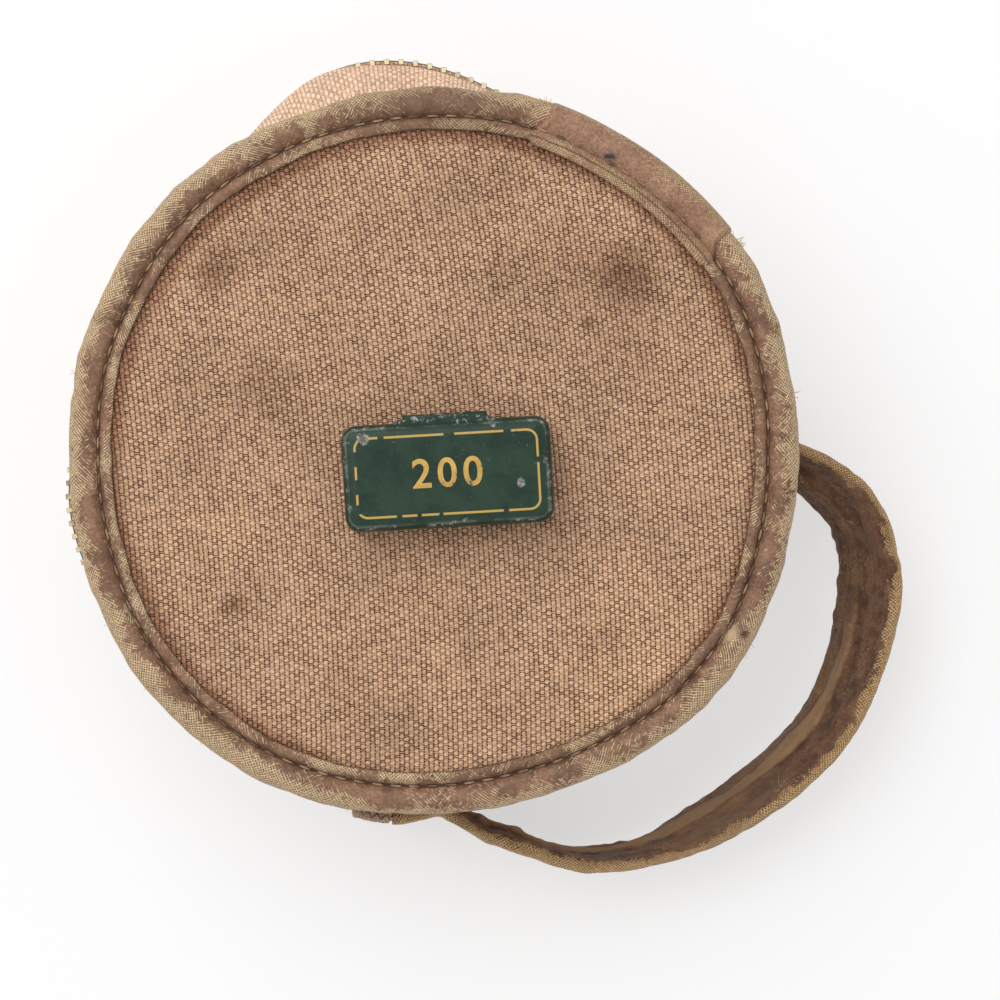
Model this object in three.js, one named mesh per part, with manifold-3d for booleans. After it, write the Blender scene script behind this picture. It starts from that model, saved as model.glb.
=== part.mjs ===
// A pocket phonograph in its round canvas zip bag, with a needle tin lying on the lid.
// Millimetres, +Z up. The origin is on the bag's axis, on the surface that it stands on.
import * as THREE from 'three';
import * as BufferGeometryUtils from 'three/addons/utils/BufferGeometryUtils.js';
import Module from 'manifold-3d';

const wasm = await Module();
wasm.setup();

// Facets
const ringSteps = 40;
const caseSteps = 32;
const wheelSteps = 20;
const pinSteps = 10;
const cornerSteps = 3;

// Clearances
const gap = 0.3;
const runningGap = 0.5;
const shellGap = 0.8;
const overrun = 1;
const weldDistance = 0.0001;

// Directions in degrees: the fabric hinge seen from the bag's axis, then places counted from it
const hingeDirection = -47.5;
const hingeHalfAngle = 21.8;
const zipEndAngle = 22.5;
const sliderAngle = 60;

// The phonograph's round case
const caseRadius = 57.5;
const caseHeight = 47;
const caseBaseHeight = 24.2;
const caseSheet = 0.8;
const caseCornerRadius = 2.4;
const caseLidRecessInset = 17.5;
const caseLidRecessDepth = 0.5;
const casePinRadius = 0.55;
const caseKnuckleRadius = 1.5;
const caseHingeWidth = 18;
const caseHingeShares = [-0.5, -0.17, 0.17, 0.5];
const caseLeafThickness = 1.3;

// The catch on the front of the case
const catchHeight = 20;
const catchStemRadius = 1.1;
const catchHeadRadius = 2.6;
const catchHeadThickness = 1.4;
const catchTravel = 1;
const catchReach = 2.2;

// The bag's panels, bindings and walls
const bagEase = 3.5;
const basePanelThickness = 2.5;
const lidPanelThickness = 2.2;
const lidCrown = 0.8;
const rollHalfWidth = 3.8;
const rollHalfHeight = 2.6;
const rollStartAngle = 180;
const rollEndAngle = 480;
const rollSteps = 7;
const stripWidth = 3.6;
const stripThickness = 1;
const rollDrop = 0.4;
const grooveWidth = 1.4;
const grooveDepth = 1;
const wallThickness = 2;
const wallRimInset = 1.6;
const wallBulge = 1.6;
const wallBulgeShares = [0, 0.6, 1];

// The zip: two tapes, each with a row of teeth on a cord, and one slider
const zipHeight = 30;
const tapeWidth = 5.4;
const tapeThickness = 1.3;
const tapeHalfGap = 0.6;
const cordWidth = 1.1;
const toothPitch = 2.9;
const toothDepth = 1.6;
const toothTipShare = 0.4;
const toothLength = 1.4;
const toothHalfGap = 0.45;
const sliderLength = 11;
const sliderPlateThickness = 0.6;
const sliderInnerThickness = 1;
const sliderHalfHeight = 4.4;
const sliderFlangeWidth = 0.8;
const sliderWebHalfThickness = 0.2;
const sliderWebShare = 0.35;
const pullLength = 14;
const pullWidth = 5;
const pullThickness = 0.9;
const pullEyeRadius = 0.85;
const pullEyeBore = 0.62;
const pullPinRadius = 0.35;
const pullEyeHeight = 2.4;
const pullEarThickness = 0.8;
const pullHoleRadius = 1.4;

// The hand strap and the doubled tabs that sew it to the wall
const strapWidth = 22;
const strapThickness = 2.5;
const strapStartShare = 0.7911;
const strapReachShare = 1.4178;
const strapHeight = 13;
const strapLean = 22;
const strapLeanShares = [0.25, 0.65];
const strapSteps = 30;
const strapReachShares = [0, 0.245, 0.478, 0.686, 0.87, 0.98, 1, 0.919, 0.772, 0.551, 0.257, 0];
const strapSpreadShares = [
  0.785, 0.829, 0.783, 0.676, 0.49, 0.253, 0.046, -0.207, -0.415, -0.568, -0.654, -0.711,
];
const tabThickness = 5;
const rightTabEndAngle = 60;
const rightTabStartAngle = 45.8;
const leftTabEndAngle = -57;
const leftTabStartAngle = -42.6;

// The clockwork: plates and pillars
const basePlateInset = 4.7;
const plateThickness = 1;
const motorHeight = 17.9;
const pillarRadius = 2.5;
const pillarInset = 6;
const pillarAngles = [0, 100, -100];
const pivotRadius = 0.8;
const pivotBore = 1.1;

// The clockwork: wheels
const greatWheelTeeth = 36;
const secondPinionTeeth = 10;
const greatModuleShare = 0.02087;
const secondWheelTeeth = 36;
const spindlePinionTeeth = 10;
const secondModuleShare = 0.01565;
const wormWheelTeeth = 24;
const wormModuleShare = 0.01391;
const addendumShare = 0.75;
const dedendumShare = 0.95;
const gearRootShare = 0.27;
const gearTipShare = 0.13;
const wheelThickness = 1.4;
const pinionThickness = 2.6;
const pinionRise = 0.4;
const secondArborRadius = 1.2;
const spindleRadius = 1.5;

// The clockwork: spring barrel, ratchet and click
const barrelDistanceShare = 0.539;
const barrelToothRim = 3;
const barrelWall = 1;
const barrelHeight = 11;
const barrelCoverThickness = 1;
const arborRadius = 2.2;
const arborSquareHalf = 1.5;
const arborSquareHeight = 2.8;
const springLoops = 4;
const springStepsPerLoop = 12;
const springThickness = 0.6;
const springInnerRadius = 4;
const springHeight = 7;
const ratchetTeeth = 20;
const ratchetRadius = 8;
const ratchetToothDepth = 1.1;
const ratchetThickness = 1.3;
const clickRadius = 2.2;
const clickLength = 11;
const clickWidth = 2.4;
const clickNoseShare = 0.25;
const clickAngle = 52;
const clickSpringThickness = 0.6;
const clickSpringLength = 11;

// The clockwork: worm governor
const wormPitchRadius = 3.4;
const wormRootRadius = 2.4;
const wormThreadHeight = 1.5;
const wormThreadRootWidth = 0.9;
const wormThreadTipWidth = 0.45;
const wormTurns = 4;
const wormStepsPerTurn = 9;
const wormWheelHeight = 8;
const governorShaftRadius = 0.9;
const governorBore = 1.25;
const governorStart = -15;
const governorEnd = 32;
const governorBracketThickness = 1.5;
const governorBracketWidth = 8;
const governorBracketFoot = 5;
const governorBallOrbit = 5;
const governorBallRadius = 1.9;
const governorBalls = 3;
const governorCollarRadius = 2.2;
const governorCollarLength = 2;
const governorSpringStart = 11;
const governorSpringEnd = 25;
const governorSpringWidth = 1.6;
const governorSpringThickness = 0.4;
const governorDiscRadius = 5.5;
const governorDiscThickness = 1;

// The turntable
const hubToRatchet = 4;
const hubThickness = 1.8;
const hubRim = 2;
const hubHollow = 0.6;
const hubBossRadius = 3.5;
const hubBossHeight = 4.4;
const feltThickness = 0.9;

// The brake lever
const brakeToHub = 15;
const brakeAngle = 31;
const brakePostRadius = 1.5;
const brakeThickness = 1.2;
const brakeWidth = 3.2;
const brakeHandle = 12;
const brakePadRadius = 2.2;

// The tone arm and sound box
const toneInset = 11.9;
const toneAngle = 204;
const toneFlangeRadius = 6.5;
const toneFlangeThickness = 1.8;
const toneColumnRadius = 4.5;
const toneColumnHeight = 5.2;
const tonePinRadius = 2.2;
const tonePinHeight = 6.2;
const toneCollarRadius = 5.2;
const toneTubeRadius = 3;
const toneTubeSides = 10;
const toneTubeSteps = 8;
const toneBow = 3.5;
const soundBoxAngle = 100.4;
const soundBoxRadius = 15;
const soundBoxHeight = 7.4;
const soundBoxWall = 1.5;
const soundBoxBack = 1.4;
const soundBoxRimDrop = 3;
const diaphragmThickness = 0.4;
const stylusWidth = 2.4;
const stylusThickness = 1;
const stylusHolderLength = 4.4;

// The stored crank, its clips and its knob
const crankInset = 18.9;
const crankHalfLength = 27;
const crankWidth = 5;
const crankThickness = 1.8;
const crankSocketRadius = 3.6;
const crankSocketHeight = 6;
const crankSocketHalf = 1.7;
const crankPinRadius = 1.1;
const knobRadius = 4.2;
const knobLength = 9;
const knobShares = [0.72, 1, 0.86, 0.62];
const clipWall = 0.8;
const clipLength = 4;
const clipPlaceShare = 0.45;

// The two nested halves of the resonator, stored in the case's lid
const resonatorSheet = 0.9;
const resonatorDepth = 7.2;
const resonatorThroat = 9;
const resonatorEaseShares = [0, 0.45, 0.8, 1];
const coneInset = 1.9;

// The needle tin on the lid
const tinLength = 38.8;
const tinWidth = 19.7;
const tinHeight = 9.2;
const tinTurn = 3.3;
const tinX = 2.83;
const tinY = -4.16;
const tinCorner = 2.8;
const tinSheet = 0.4;
const tinStepHeight = 4;
const tinNeckHeight = 3;
const tinTopRound = 0.9;
const tinTopRoundShare = 0.33;
const tinHingeWidth = 16;
const tinHingeRadius = 0.9;
const tinPinRadius = 0.35;
const tinPinBore = 0.55;
const tinKnuckleShares = [-0.5, -0.18, 0.18, 0.5];
const needleLength = 15;
const needleRadius = 0.8;
const needlePointShare = 0.25;
const needleCount = 6;
const needleSides = 6;
const needleSpread = 1.4;

// Levels, from the ground up
const caseFloor = basePanelThickness + gap;
const caseSplit = caseFloor + caseBaseHeight;
const caseTop = caseFloor + caseHeight;
const lidPanelBottom = caseTop + gap;
const lidPanelTop = lidPanelBottom + lidPanelThickness;
const lidStripTop = lidPanelTop + gap + stripThickness;
const lidRollHeight = lidStripTop - rollDrop - rollHalfHeight;
const baseRollHeight = gap + rollDrop + rollHalfHeight;
const wallBottom = baseRollHeight + rollHalfHeight + gap;
const wallTop = lidRollHeight - rollHalfHeight - gap;
const bandHalf = tapeHalfGap + tapeWidth;
const lowerWallTop = zipHeight - bandHalf - gap;
const upperWallBottom = zipHeight + bandHalf + gap;
const basePlateBottom = caseFloor + caseSheet + gap;
const basePlateTop = basePlateBottom + plateThickness;
const motorPlateBottom = basePlateTop + motorHeight;
const motorPlateTop = motorPlateBottom + plateThickness;
const tinBottom = lidPanelTop + lidCrown + gap;

// Radii, from the case outwards
const panelRadius = caseRadius + bagEase;
const rollInner = panelRadius + gap;
const rollRadius = rollInner + rollHalfWidth;
const wallRimRadius = rollRadius - wallRimInset;
const wallZipRadius = wallRimRadius + wallBulge;
const tapeOuter = wallZipRadius - gap;
const tapeInner = tapeOuter - tapeThickness;
const chainInner = tapeOuter + gap;
const chainOuter = chainInner + toothDepth;
const sliderPlateInner = chainOuter + runningGap;
const sliderPlateOuter = sliderPlateInner + sliderPlateThickness;
const pullPinPlace = sliderPlateOuter + gap + pullEyeRadius;
const caseHingePlace = caseRadius + gap + caseKnuckleRadius;
const strapStart = wallZipRadius * strapStartShare;
const strapReach = wallZipRadius * strapReachShare;

// Radii and distances inside the case: the wall and the clockwork's place follow the case's radius
const caseInner = caseRadius - caseSheet;
const motorPlateRadius = caseInner - shellGap;
const basePlateRadius = caseInner - basePlateInset;
const pillarDistance = basePlateRadius - pillarInset;
const resonatorRadius = caseInner - shellGap;
const coneRadius = resonatorRadius - coneInset;
const caseLidRecessRadius = caseRadius - caseLidRecessInset;
const crankOffset = motorPlateRadius - crankInset;
const toneDistance = motorPlateRadius - toneInset;
const soundBoxDistance = motorPlateRadius - soundBoxRadius - gap - stylusHolderLength;
const barrelDistance = caseRadius * barrelDistanceShare;
const greatModule = caseRadius * greatModuleShare;
const secondModule = caseRadius * secondModuleShare;
const wormModule = caseRadius * wormModuleShare;
const hubRadius = barrelDistance - ratchetRadius - hubToRatchet;
const brakeDistance = hubRadius + brakeToHub;

const degrees = THREE.MathUtils.degToRad;
const lerp = THREE.MathUtils.lerp;

// Outlines and solids

function point(x, y) {
  return new THREE.Vector2(x, y);
}

function circle(radius, steps, x = 0, y = 0) {
  return Array.from({ length: steps }, (_, i) => {
    const turn = (2 * Math.PI * i) / steps;
    return point(x + radius * Math.cos(turn), y + radius * Math.sin(turn));
  });
}

function rectangle(x0, y0, x1, y1) {
  return [point(x0, y0), point(x1, y0), point(x1, y1), point(x0, y1)];
}

function roundedRectangle(length, width, radius) {
  const x = length / 2 - radius;
  const y = width / 2 - radius;
  const corners = [[x, y], [-x, y], [-x, -y], [x, -y]];
  return corners.flatMap(([cx, cy], corner) =>
    Array.from({ length: cornerSteps + 1 }, (_, i) => {
      const turn = (Math.PI / 2) * (corner + i / cornerSteps);
      return point(cx + radius * Math.cos(turn), cy + radius * Math.sin(turn));
    }));
}

function weld(geometry) {
  const bare = geometry.clone();
  bare.deleteAttribute('normal');
  bare.deleteAttribute('uv');
  const merged = BufferGeometryUtils.mergeVertices(bare, weldDistance);
  const index = merged.index.array;
  const kept = [];
  for (let i = 0; i < index.length; i += 3) {
    const [a, b, c] = index.subarray(i, i + 3);
    if (a !== b && b !== c && c !== a) kept.push(a, b, c);
  }
  merged.setIndex(kept);
  return merged;
}

// The outline, counter-clockwise in radius and height, turned about +Z
function turned(outline, steps) {
  const points = outline.map((p) => p.clone());
  const onAxis = points[0].x === 0 && points.at(-1).x === 0;
  if (!onAxis) points.push(points[0].clone());
  return weld(new THREE.LatheGeometry(points, steps).rotateX(Math.PI / 2));
}

function extruded(outline, depth, holes = []) {
  const shape = new THREE.Shape(outline);
  holes.forEach((hole) => shape.holes.push(new THREE.Path(hole)));
  return weld(new THREE.ExtrudeGeometry(shape, { depth, bevelEnabled: false }));
}

function disc(radius, bottom, thickness, steps, holes = []) {
  return extruded(circle(radius, steps), thickness, holes).translate(0, 0, bottom);
}

// Sections of the same number of points joined in order, with a flat cap at each end
function lofted(sections, outline) {
  const count = outline.length;
  const positions = sections.flatMap((section) => section.flatMap((p) => p.toArray()));
  const faces = [];
  for (let s = 0; s + 1 < sections.length; s += 1) {
    for (let i = 0; i < count; i += 1) {
      const a = s * count + i;
      const b = s * count + ((i + 1) % count);
      faces.push(a, b, b + count, a, b + count, a + count);
    }
  }
  const last = (sections.length - 1) * count;
  THREE.ShapeUtils.triangulateShape(outline, []).forEach(([a, b, c]) => {
    faces.push(c, b, a, last + a, last + b, last + c);
  });
  const geometry = new THREE.BufferGeometry();
  geometry.setAttribute('position', new THREE.Float32BufferAttribute(positions, 3));
  geometry.setIndex(faces);
  return facingOut(geometry);
}

function facingOut(geometry) {
  const position = geometry.getAttribute('position');
  const index = geometry.index.array;
  const [a, b, c] = [new THREE.Vector3(), new THREE.Vector3(), new THREE.Vector3()];
  let volume = 0;
  for (let i = 0; i < index.length; i += 3) {
    a.fromBufferAttribute(position, index[i]);
    b.fromBufferAttribute(position, index[i + 1]);
    c.fromBufferAttribute(position, index[i + 2]);
    volume += a.dot(b.cross(c));
  }
  if (volume < 0) geometry.setIndex(Array.from(index).reverse());
  return geometry;
}

// The outline, in radius and height, swept round +Z between two angles
function arc(outline, fromAngle, toAngle, steps) {
  const sections = Array.from({ length: steps + 1 }, (_, i) => {
    const turn = degrees(lerp(fromAngle, toAngle, i / steps));
    return outline.map((p) => new THREE.Vector3(p.x * Math.cos(turn), p.x * Math.sin(turn), p.y));
  });
  return lofted(sections, outline);
}

function block(x0, y0, z0, x1, y1, z1) {
  const box = new THREE.BoxGeometry(x1 - x0, y1 - y0, z1 - z0);
  return weld(box.translate((x0 + x1) / 2, (y0 + y1) / 2, (z0 + z1) / 2));
}

// A round bar along +Y
function crossBar(radius, x, y0, y1, z, steps = pinSteps) {
  const bar = new THREE.CylinderGeometry(radius, radius, y1 - y0, steps);
  return weld(bar.translate(x, (y0 + y1) / 2, z));
}

function solid(geometry) {
  const mesh = new wasm.Mesh({
    numProp: 3,
    vertProperties: new Float32Array(geometry.getAttribute('position').array),
    triVerts: new Uint32Array(geometry.index.array),
  });
  return new wasm.Manifold(mesh);
}

function geometryOf(manifold) {
  const mesh = manifold.getMesh();
  const geometry = new THREE.BufferGeometry();
  geometry.setAttribute('position', new THREE.BufferAttribute(mesh.vertProperties, 3));
  geometry.setIndex(new THREE.BufferAttribute(mesh.triVerts, 1));
  return geometry;
}

function joined(...geometries) {
  let solids = geometries.map(solid);
  while (solids.length > 1) {
    const pairs = [];
    for (let i = 0; i < solids.length; i += 2) {
      pairs.push(i + 1 < solids.length ? solids[i].add(solids[i + 1]) : solids[i]);
    }
    solids = pairs;
  }
  return geometryOf(solids[0]);
}

function cut(geometry, ...cutters) {
  return geometryOf(cutters.reduce((rest, cutter) => rest.subtract(solid(cutter)), solid(geometry)));
}

// Finishes

function finish(color, roughness, metalness) {
  return () => new THREE.MeshStandardMaterial({ color, roughness, metalness });
}

const canvas = finish(0xa8856d, 0.9, 0);
const boundCloth = finish(0x7a5f4a, 0.7, 0);
const zipTape = finish(0x6f5a48, 0.85, 0);
const zipMetal = finish(0xb9b5aa, 0.35, 1);
const nickel = finish(0xc8c4b8, 0.28, 1);
const steel = finish(0x8c8c8a, 0.35, 1);
const blueSteel = finish(0x3c4250, 0.35, 1);
const brass = finish(0xb9944e, 0.35, 1);
const celluloid = finish(0x1c1a19, 0.25, 0);
const felt = finish(0x27452f, 0.95, 0);
const mica = finish(0xb9a67c, 0.3, 0);
const tinPaint = finish(0x2f4438, 0.45, 0.2);
const bareTin = finish(0x9a968c, 0.4, 1);
const blackWood = finish(0x2a2019, 0.4, 0);

const phonograph = new THREE.Group();
const hinged = new THREE.Group();
hinged.rotation.z = degrees(hingeDirection);
phonograph.add(hinged);

function piece(name, geometry, material, parent = hinged) {
  const mesh = new THREE.Mesh(geometry, material());
  mesh.name = name;
  parent.add(mesh);
  return mesh;
}

function placed(x, y, z = 0, turn = 0, parent = hinged) {
  const group = new THREE.Group();
  group.position.set(x, y, z);
  group.rotation.z = turn;
  parent.add(group);
  return group;
}

// The bag: board panels, bound rims and canvas walls

function basePanelOutline() {
  const rim = gap + stripThickness + gap;
  const flat = rollInner - stripWidth - gap;
  return [
    point(0, 0),
    point(flat, 0),
    point(flat, rim),
    point(panelRadius, rim),
    point(panelRadius, basePanelThickness),
    point(0, basePanelThickness),
  ];
}

function lidPanelOutline() {
  const flat = rollInner - stripWidth - gap;
  const crownShares = [1, 0.75, 0.5, 0.25];
  const crown = crownShares.map((share) =>
    point(flat * share, lidPanelTop + lidCrown * (1 - share * share)));
  return [
    point(0, lidPanelBottom),
    point(panelRadius, lidPanelBottom),
    point(panelRadius, lidPanelTop),
    ...crown,
    point(0, lidPanelTop + lidCrown),
  ];
}

// A rolled edge and the flat strip that covers the panel's rim; up is +1 on the lid and -1 on the base
function bindingOutline(rollHeight, up) {
  const stripTop = rollHalfHeight + rollDrop;
  const stripBottom = stripTop - stripThickness;
  const stripInner = rollInner - stripWidth;
  const roll = Array.from({ length: rollSteps + 1 }, (_, i) => {
    const turn = degrees(lerp(rollStartAngle, rollEndAngle, i / rollSteps));
    return [rollRadius + rollHalfWidth * Math.cos(turn), rollHalfHeight * Math.sin(turn)];
  });
  const outline = [
    [stripInner, stripBottom],
    [rollInner, stripBottom],
    ...roll,
    [rollInner + grooveWidth / 2, stripTop - grooveDepth],
    [rollInner, stripTop],
    [stripInner, stripTop],
  ].map(([radius, height]) => point(radius, rollHeight + up * height));
  return up > 0 ? outline : outline.reverse();
}

// The wall leans out from its rim to the zip
function wallOutline(rimHeight, zipEdge) {
  const outer = wallBulgeShares.map((share, i) => {
    const rise = i / (wallBulgeShares.length - 1);
    return point(wallRimRadius + wallBulge * share, lerp(rimHeight, zipEdge, rise));
  });
  const inner = outer.map((p) => point(p.x - wallThickness, p.y)).reverse();
  return rimHeight < zipEdge ? [...outer, ...inner] : [...outer, ...inner].reverse();
}

function makeBag() {
  piece('base_panel', turned(basePanelOutline(), ringSteps), canvas);
  piece('base_binding', turned(bindingOutline(baseRollHeight, -1), ringSteps), boundCloth);
  piece('lower_wall', turned(wallOutline(wallBottom, lowerWallTop), ringSteps), canvas);
  piece('lid_panel', turned(lidPanelOutline(), ringSteps), canvas);
  piece('lid_binding', turned(bindingOutline(lidRollHeight, 1), ringSteps), boundCloth);
  piece('upper_wall', turned(wallOutline(wallTop, upperWallBottom), ringSteps), canvas);
  const hinge = rectangle(tapeInner, zipHeight - bandHalf, tapeOuter, zipHeight + bandHalf);
  piece('fabric_hinge', arc(hinge, -hingeHalfAngle, hingeHalfAngle, cornerSteps * 2), canvas);
}

// The zip

// One row of teeth on its cord, on the tape below (up = 1) or above (up = -1) the zip's line:
// each tooth has four corners on the row's inner face and four on its outer face
function zipRow(up) {
  const tip = zipHeight - up * toothHalfGap;
  const root = tip - up * toothLength;
  const back = root - up * cordWidth;
  const sweep = 2 * Math.PI - 2 * degrees(zipEndAngle);
  const teeth = Math.floor((sweep * chainOuter) / toothPitch);
  const pitch = sweep / (teeth + 1 / 2);
  const start = degrees(zipEndAngle) + (up > 0 ? 0 : pitch / 2);
  const corners = [];
  for (let i = 0; i <= teeth; i += 1) {
    corners.push([i, back], [i, root]);
    if (i === teeth) break;
    corners.push([i + (1 - toothTipShare) / 2, tip], [i + (1 + toothTipShare) / 2, tip]);
  }
  const positions = corners.flatMap(([step, height]) => {
    const turn = start + pitch * step;
    return [chainInner, chainOuter].flatMap((radius) =>
      [radius * Math.cos(turn), radius * Math.sin(turn), height]);
  });
  const geometry = new THREE.BufferGeometry();
  geometry.setAttribute('position', new THREE.Float32BufferAttribute(positions, 3));
  geometry.setIndex(rackFaces(teeth));
  return facingOut(geometry);
}

// Faces between the corners of a rack: back, root and the tooth's two tips, then the next tooth's
function rackFaces(teeth) {
  const faces = [];
  const wall = (a, b) => faces.push(2 * a, 2 * b, 2 * b + 1, 2 * a, 2 * b + 1, 2 * a + 1);
  const cap = (a, b, c) => faces.push(2 * a, 2 * c, 2 * b, 2 * a + 1, 2 * b + 1, 2 * c + 1);
  for (let i = 0; i < teeth; i += 1) {
    const [back, root, left, right, nextBack, nextRoot] = [0, 1, 2, 3, 4, 5].map((k) => 4 * i + k);
    cap(back, nextBack, nextRoot);
    cap(back, nextRoot, root);
    cap(root, nextRoot, right);
    cap(root, right, left);
    wall(back, nextBack);
    wall(nextRoot, right);
    wall(right, left);
    wall(left, root);
  }
  wall(1, 0);
  wall(4 * teeth, 4 * teeth + 1);
  return faces;
}

function tapeOutline(up) {
  const edge = zipHeight - up * tapeHalfGap;
  const seam = edge - up * tapeWidth;
  return rectangle(tapeInner, Math.min(edge, seam), tapeOuter, Math.max(edge, seam));
}

function makeZip() {
  const ends = [zipEndAngle, 360 - zipEndAngle, ringSteps - cornerSteps * 2];
  piece('zip_tape_lower', arc(tapeOutline(1), ...ends), zipTape);
  piece('zip_tape_upper', arc(tapeOutline(-1), ...ends), zipTape);
  piece('zip_teeth_lower', zipRow(1), zipMetal);
  piece('zip_teeth_upper', zipRow(-1), zipMetal);
}

// Two plates joined by a thin divider; only the lower edges are turned in, so the lid lifts out of it
function sliderGeometry() {
  const half = THREE.MathUtils.radToDeg(sliderLength / 2 / sliderPlateOuter);
  const bottom = zipHeight - sliderHalfHeight;
  const top = zipHeight + sliderHalfHeight;
  const innerFace = tapeInner - runningGap;
  const outerPlate = rectangle(sliderPlateInner, bottom, sliderPlateOuter, top);
  const innerPlate = rectangle(innerFace - sliderInnerThickness, bottom, innerFace, top);
  const flangeTop = bottom + sliderFlangeWidth;
  const flange = rectangle(tapeOuter + runningGap, bottom, sliderPlateOuter, flangeTop);
  const web = rectangle(
    innerFace - sliderInnerThickness / 2,
    zipHeight - sliderWebHalfThickness,
    sliderPlateInner + sliderPlateThickness / 2,
    zipHeight + sliderWebHalfThickness,
  );
  const webEnd = half * (1 - 2 * sliderWebShare);
  const ears = [-1, 1].map((side) => {
    const near = zipHeight + side * (pullEyeHeight / 2 + gap);
    const far = near + side * pullEarThickness;
    return block(
      sliderPlateInner + sliderPlateThickness / 2,
      -pullEyeRadius,
      Math.min(near, far),
      pullPinPlace + pullEyeRadius,
      pullEyeRadius,
      Math.max(near, far),
    );
  });
  const pinReach = pullEyeHeight / 2 + gap + pullEarThickness / 2;
  const pin = disc(pullPinRadius, zipHeight - pinReach, 2 * pinReach, pinSteps);
  return joined(
    arc(outerPlate, -half, half, cornerSteps * 2),
    arc(innerPlate, -half, half, cornerSteps * 2),
    arc(flange, -half, half, cornerSteps * 2),
    arc(web, webEnd, half, cornerSteps),
    ...ears,
    pin.translate(pullPinPlace, 0, 0),
  );
}

function pullGeometry() {
  const eye = disc(pullEyeRadius, -pullEyeHeight / 2, pullEyeHeight, pinSteps);
  const outline = roundedRectangle(pullLength, pullWidth, pullWidth / 2 - gap);
  const hole = circle(pullHoleRadius, pinSteps, pullLength / 2 - pullWidth / 2, 0);
  const blade = extruded(outline, pullThickness, [hole]).rotateX(Math.PI / 2);
  blade.translate(pullLength / 2 + pullEyeBore + gap, pullThickness / 2, 0);
  const neckHalf = pullEyeHeight / 2;
  const neckSide = pullThickness / 2;
  const neck = block(0, -neckSide, -neckHalf, pullWidth / 2, neckSide, neckHalf);
  const bore = disc(pullEyeBore, -pullEyeHeight, 2 * pullEyeHeight, pinSteps);
  return cut(joined(eye, blade, neck), bore);
}

function makeSlider() {
  const place = placed(0, 0, 0, degrees(sliderAngle));
  piece('zip_slider', sliderGeometry(), zipMetal, place);
  const tilt = Math.asin(pullLength / 2 / pullPinPlace);
  const pivot = placed(pullPinPlace, 0, zipHeight, Math.PI / 2 + tilt, place);
  piece('zip_pull', pullGeometry(), zipMetal, pivot);
}

// The strap: a band on edge, leaning outwards on one side and upright on the other

function strapSections(outline) {
  const route = new THREE.CatmullRomCurve3(strapReachShares.map((share, i) => new THREE.Vector3(
    lerp(strapStart, strapReach, share),
    strapSpreadShares[i] * wallZipRadius,
    strapHeight,
  )));
  const endRadius = strapWidth / 2;
  return Array.from({ length: strapSteps + 1 }, (_, i) => {
    const along = (1 - Math.cos((Math.PI * i) / strapSteps)) / 2;
    const middle = route.getPointAt(along);
    const ahead = route.getTangentAt(along);
    const across = new THREE.Vector3(ahead.y, -ahead.x, 0).normalize();
    const lean = degrees(strapLean) * THREE.MathUtils.smoothstep(1 - along, ...strapLeanShares);
    const up = new THREE.Vector3(0, 0, Math.cos(lean)).addScaledVector(across, -Math.sin(lean));
    const out = across.clone().multiplyScalar(Math.cos(lean));
    out.z = Math.sin(lean);
    const fromEnd = Math.min(endRadius, middle.x - strapStart + gap);
    const share = Math.sqrt(1 - ((endRadius - fromEnd) / endRadius) ** 2);
    return outline.map((p) => middle.clone()
      .addScaledVector(out, p.x * strapThickness)
      .addScaledVector(up, p.y * strapWidth * share));
  });
}

function tab(fromAngle, toAngle) {
  const inner = wallZipRadius + gap;
  const outline = rectangle(inner, wallBottom + gap, inner + tabThickness, lowerWallTop - gap);
  return arc(outline, fromAngle, toAngle, cornerSteps * 2);
}

function makeStrap() {
  const outline = rectangle(-1 / 2, -1 / 2, 1 / 2, 1 / 2);
  piece('strap', lofted(strapSections(outline), outline), boundCloth);
  piece('strap_tab_right', tab(rightTabStartAngle, rightTabEndAngle), boundCloth);
  piece('strap_tab_left', tab(leftTabEndAngle, leftTabStartAngle), boundCloth);
}

// The case: two pressed shells, a pin hinge and a push catch

function cornerArc(radius, centreRadius, centreHeight, fromAngle, toAngle) {
  return Array.from({ length: cornerSteps + 1 }, (_, i) => {
    const turn = degrees(lerp(fromAngle, toAngle, i / cornerSteps));
    return point(centreRadius + radius * Math.cos(turn), centreHeight + radius * Math.sin(turn));
  });
}

function caseBaseShell() {
  const corner = caseRadius - caseCornerRadius;
  const height = caseFloor + caseCornerRadius;
  const rim = caseSplit - gap / 2;
  const outside = cornerArc(caseCornerRadius, corner, height, -90, 0);
  const inside = cornerArc(caseCornerRadius - caseSheet, corner, height, 0, -90);
  return turned([
    point(0, caseFloor),
    ...outside,
    point(caseRadius, rim),
    point(caseRadius - caseSheet, rim),
    ...inside,
    point(0, caseFloor + caseSheet),
  ], caseSteps);
}

function caseLidShell() {
  const corner = caseRadius - caseCornerRadius;
  const height = caseTop - caseCornerRadius;
  const rim = caseSplit + gap / 2;
  const outside = cornerArc(caseCornerRadius, corner, height, 0, 90);
  const inside = cornerArc(caseCornerRadius - caseSheet, corner, height, 90, 0);
  return turned([
    point(0, caseTop - caseSheet - caseLidRecessDepth),
    point(caseLidRecessRadius, caseTop - caseSheet - caseLidRecessDepth),
    point(caseLidRecessRadius + caseSheet, caseTop - caseSheet),
    ...inside,
    point(caseRadius - caseSheet, rim),
    point(caseRadius, rim),
    ...outside,
    point(caseLidRecessRadius + caseSheet, caseTop),
    point(caseLidRecessRadius, caseTop - caseLidRecessDepth),
    point(0, caseTop - caseLidRecessDepth),
  ], caseSteps);
}

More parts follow.
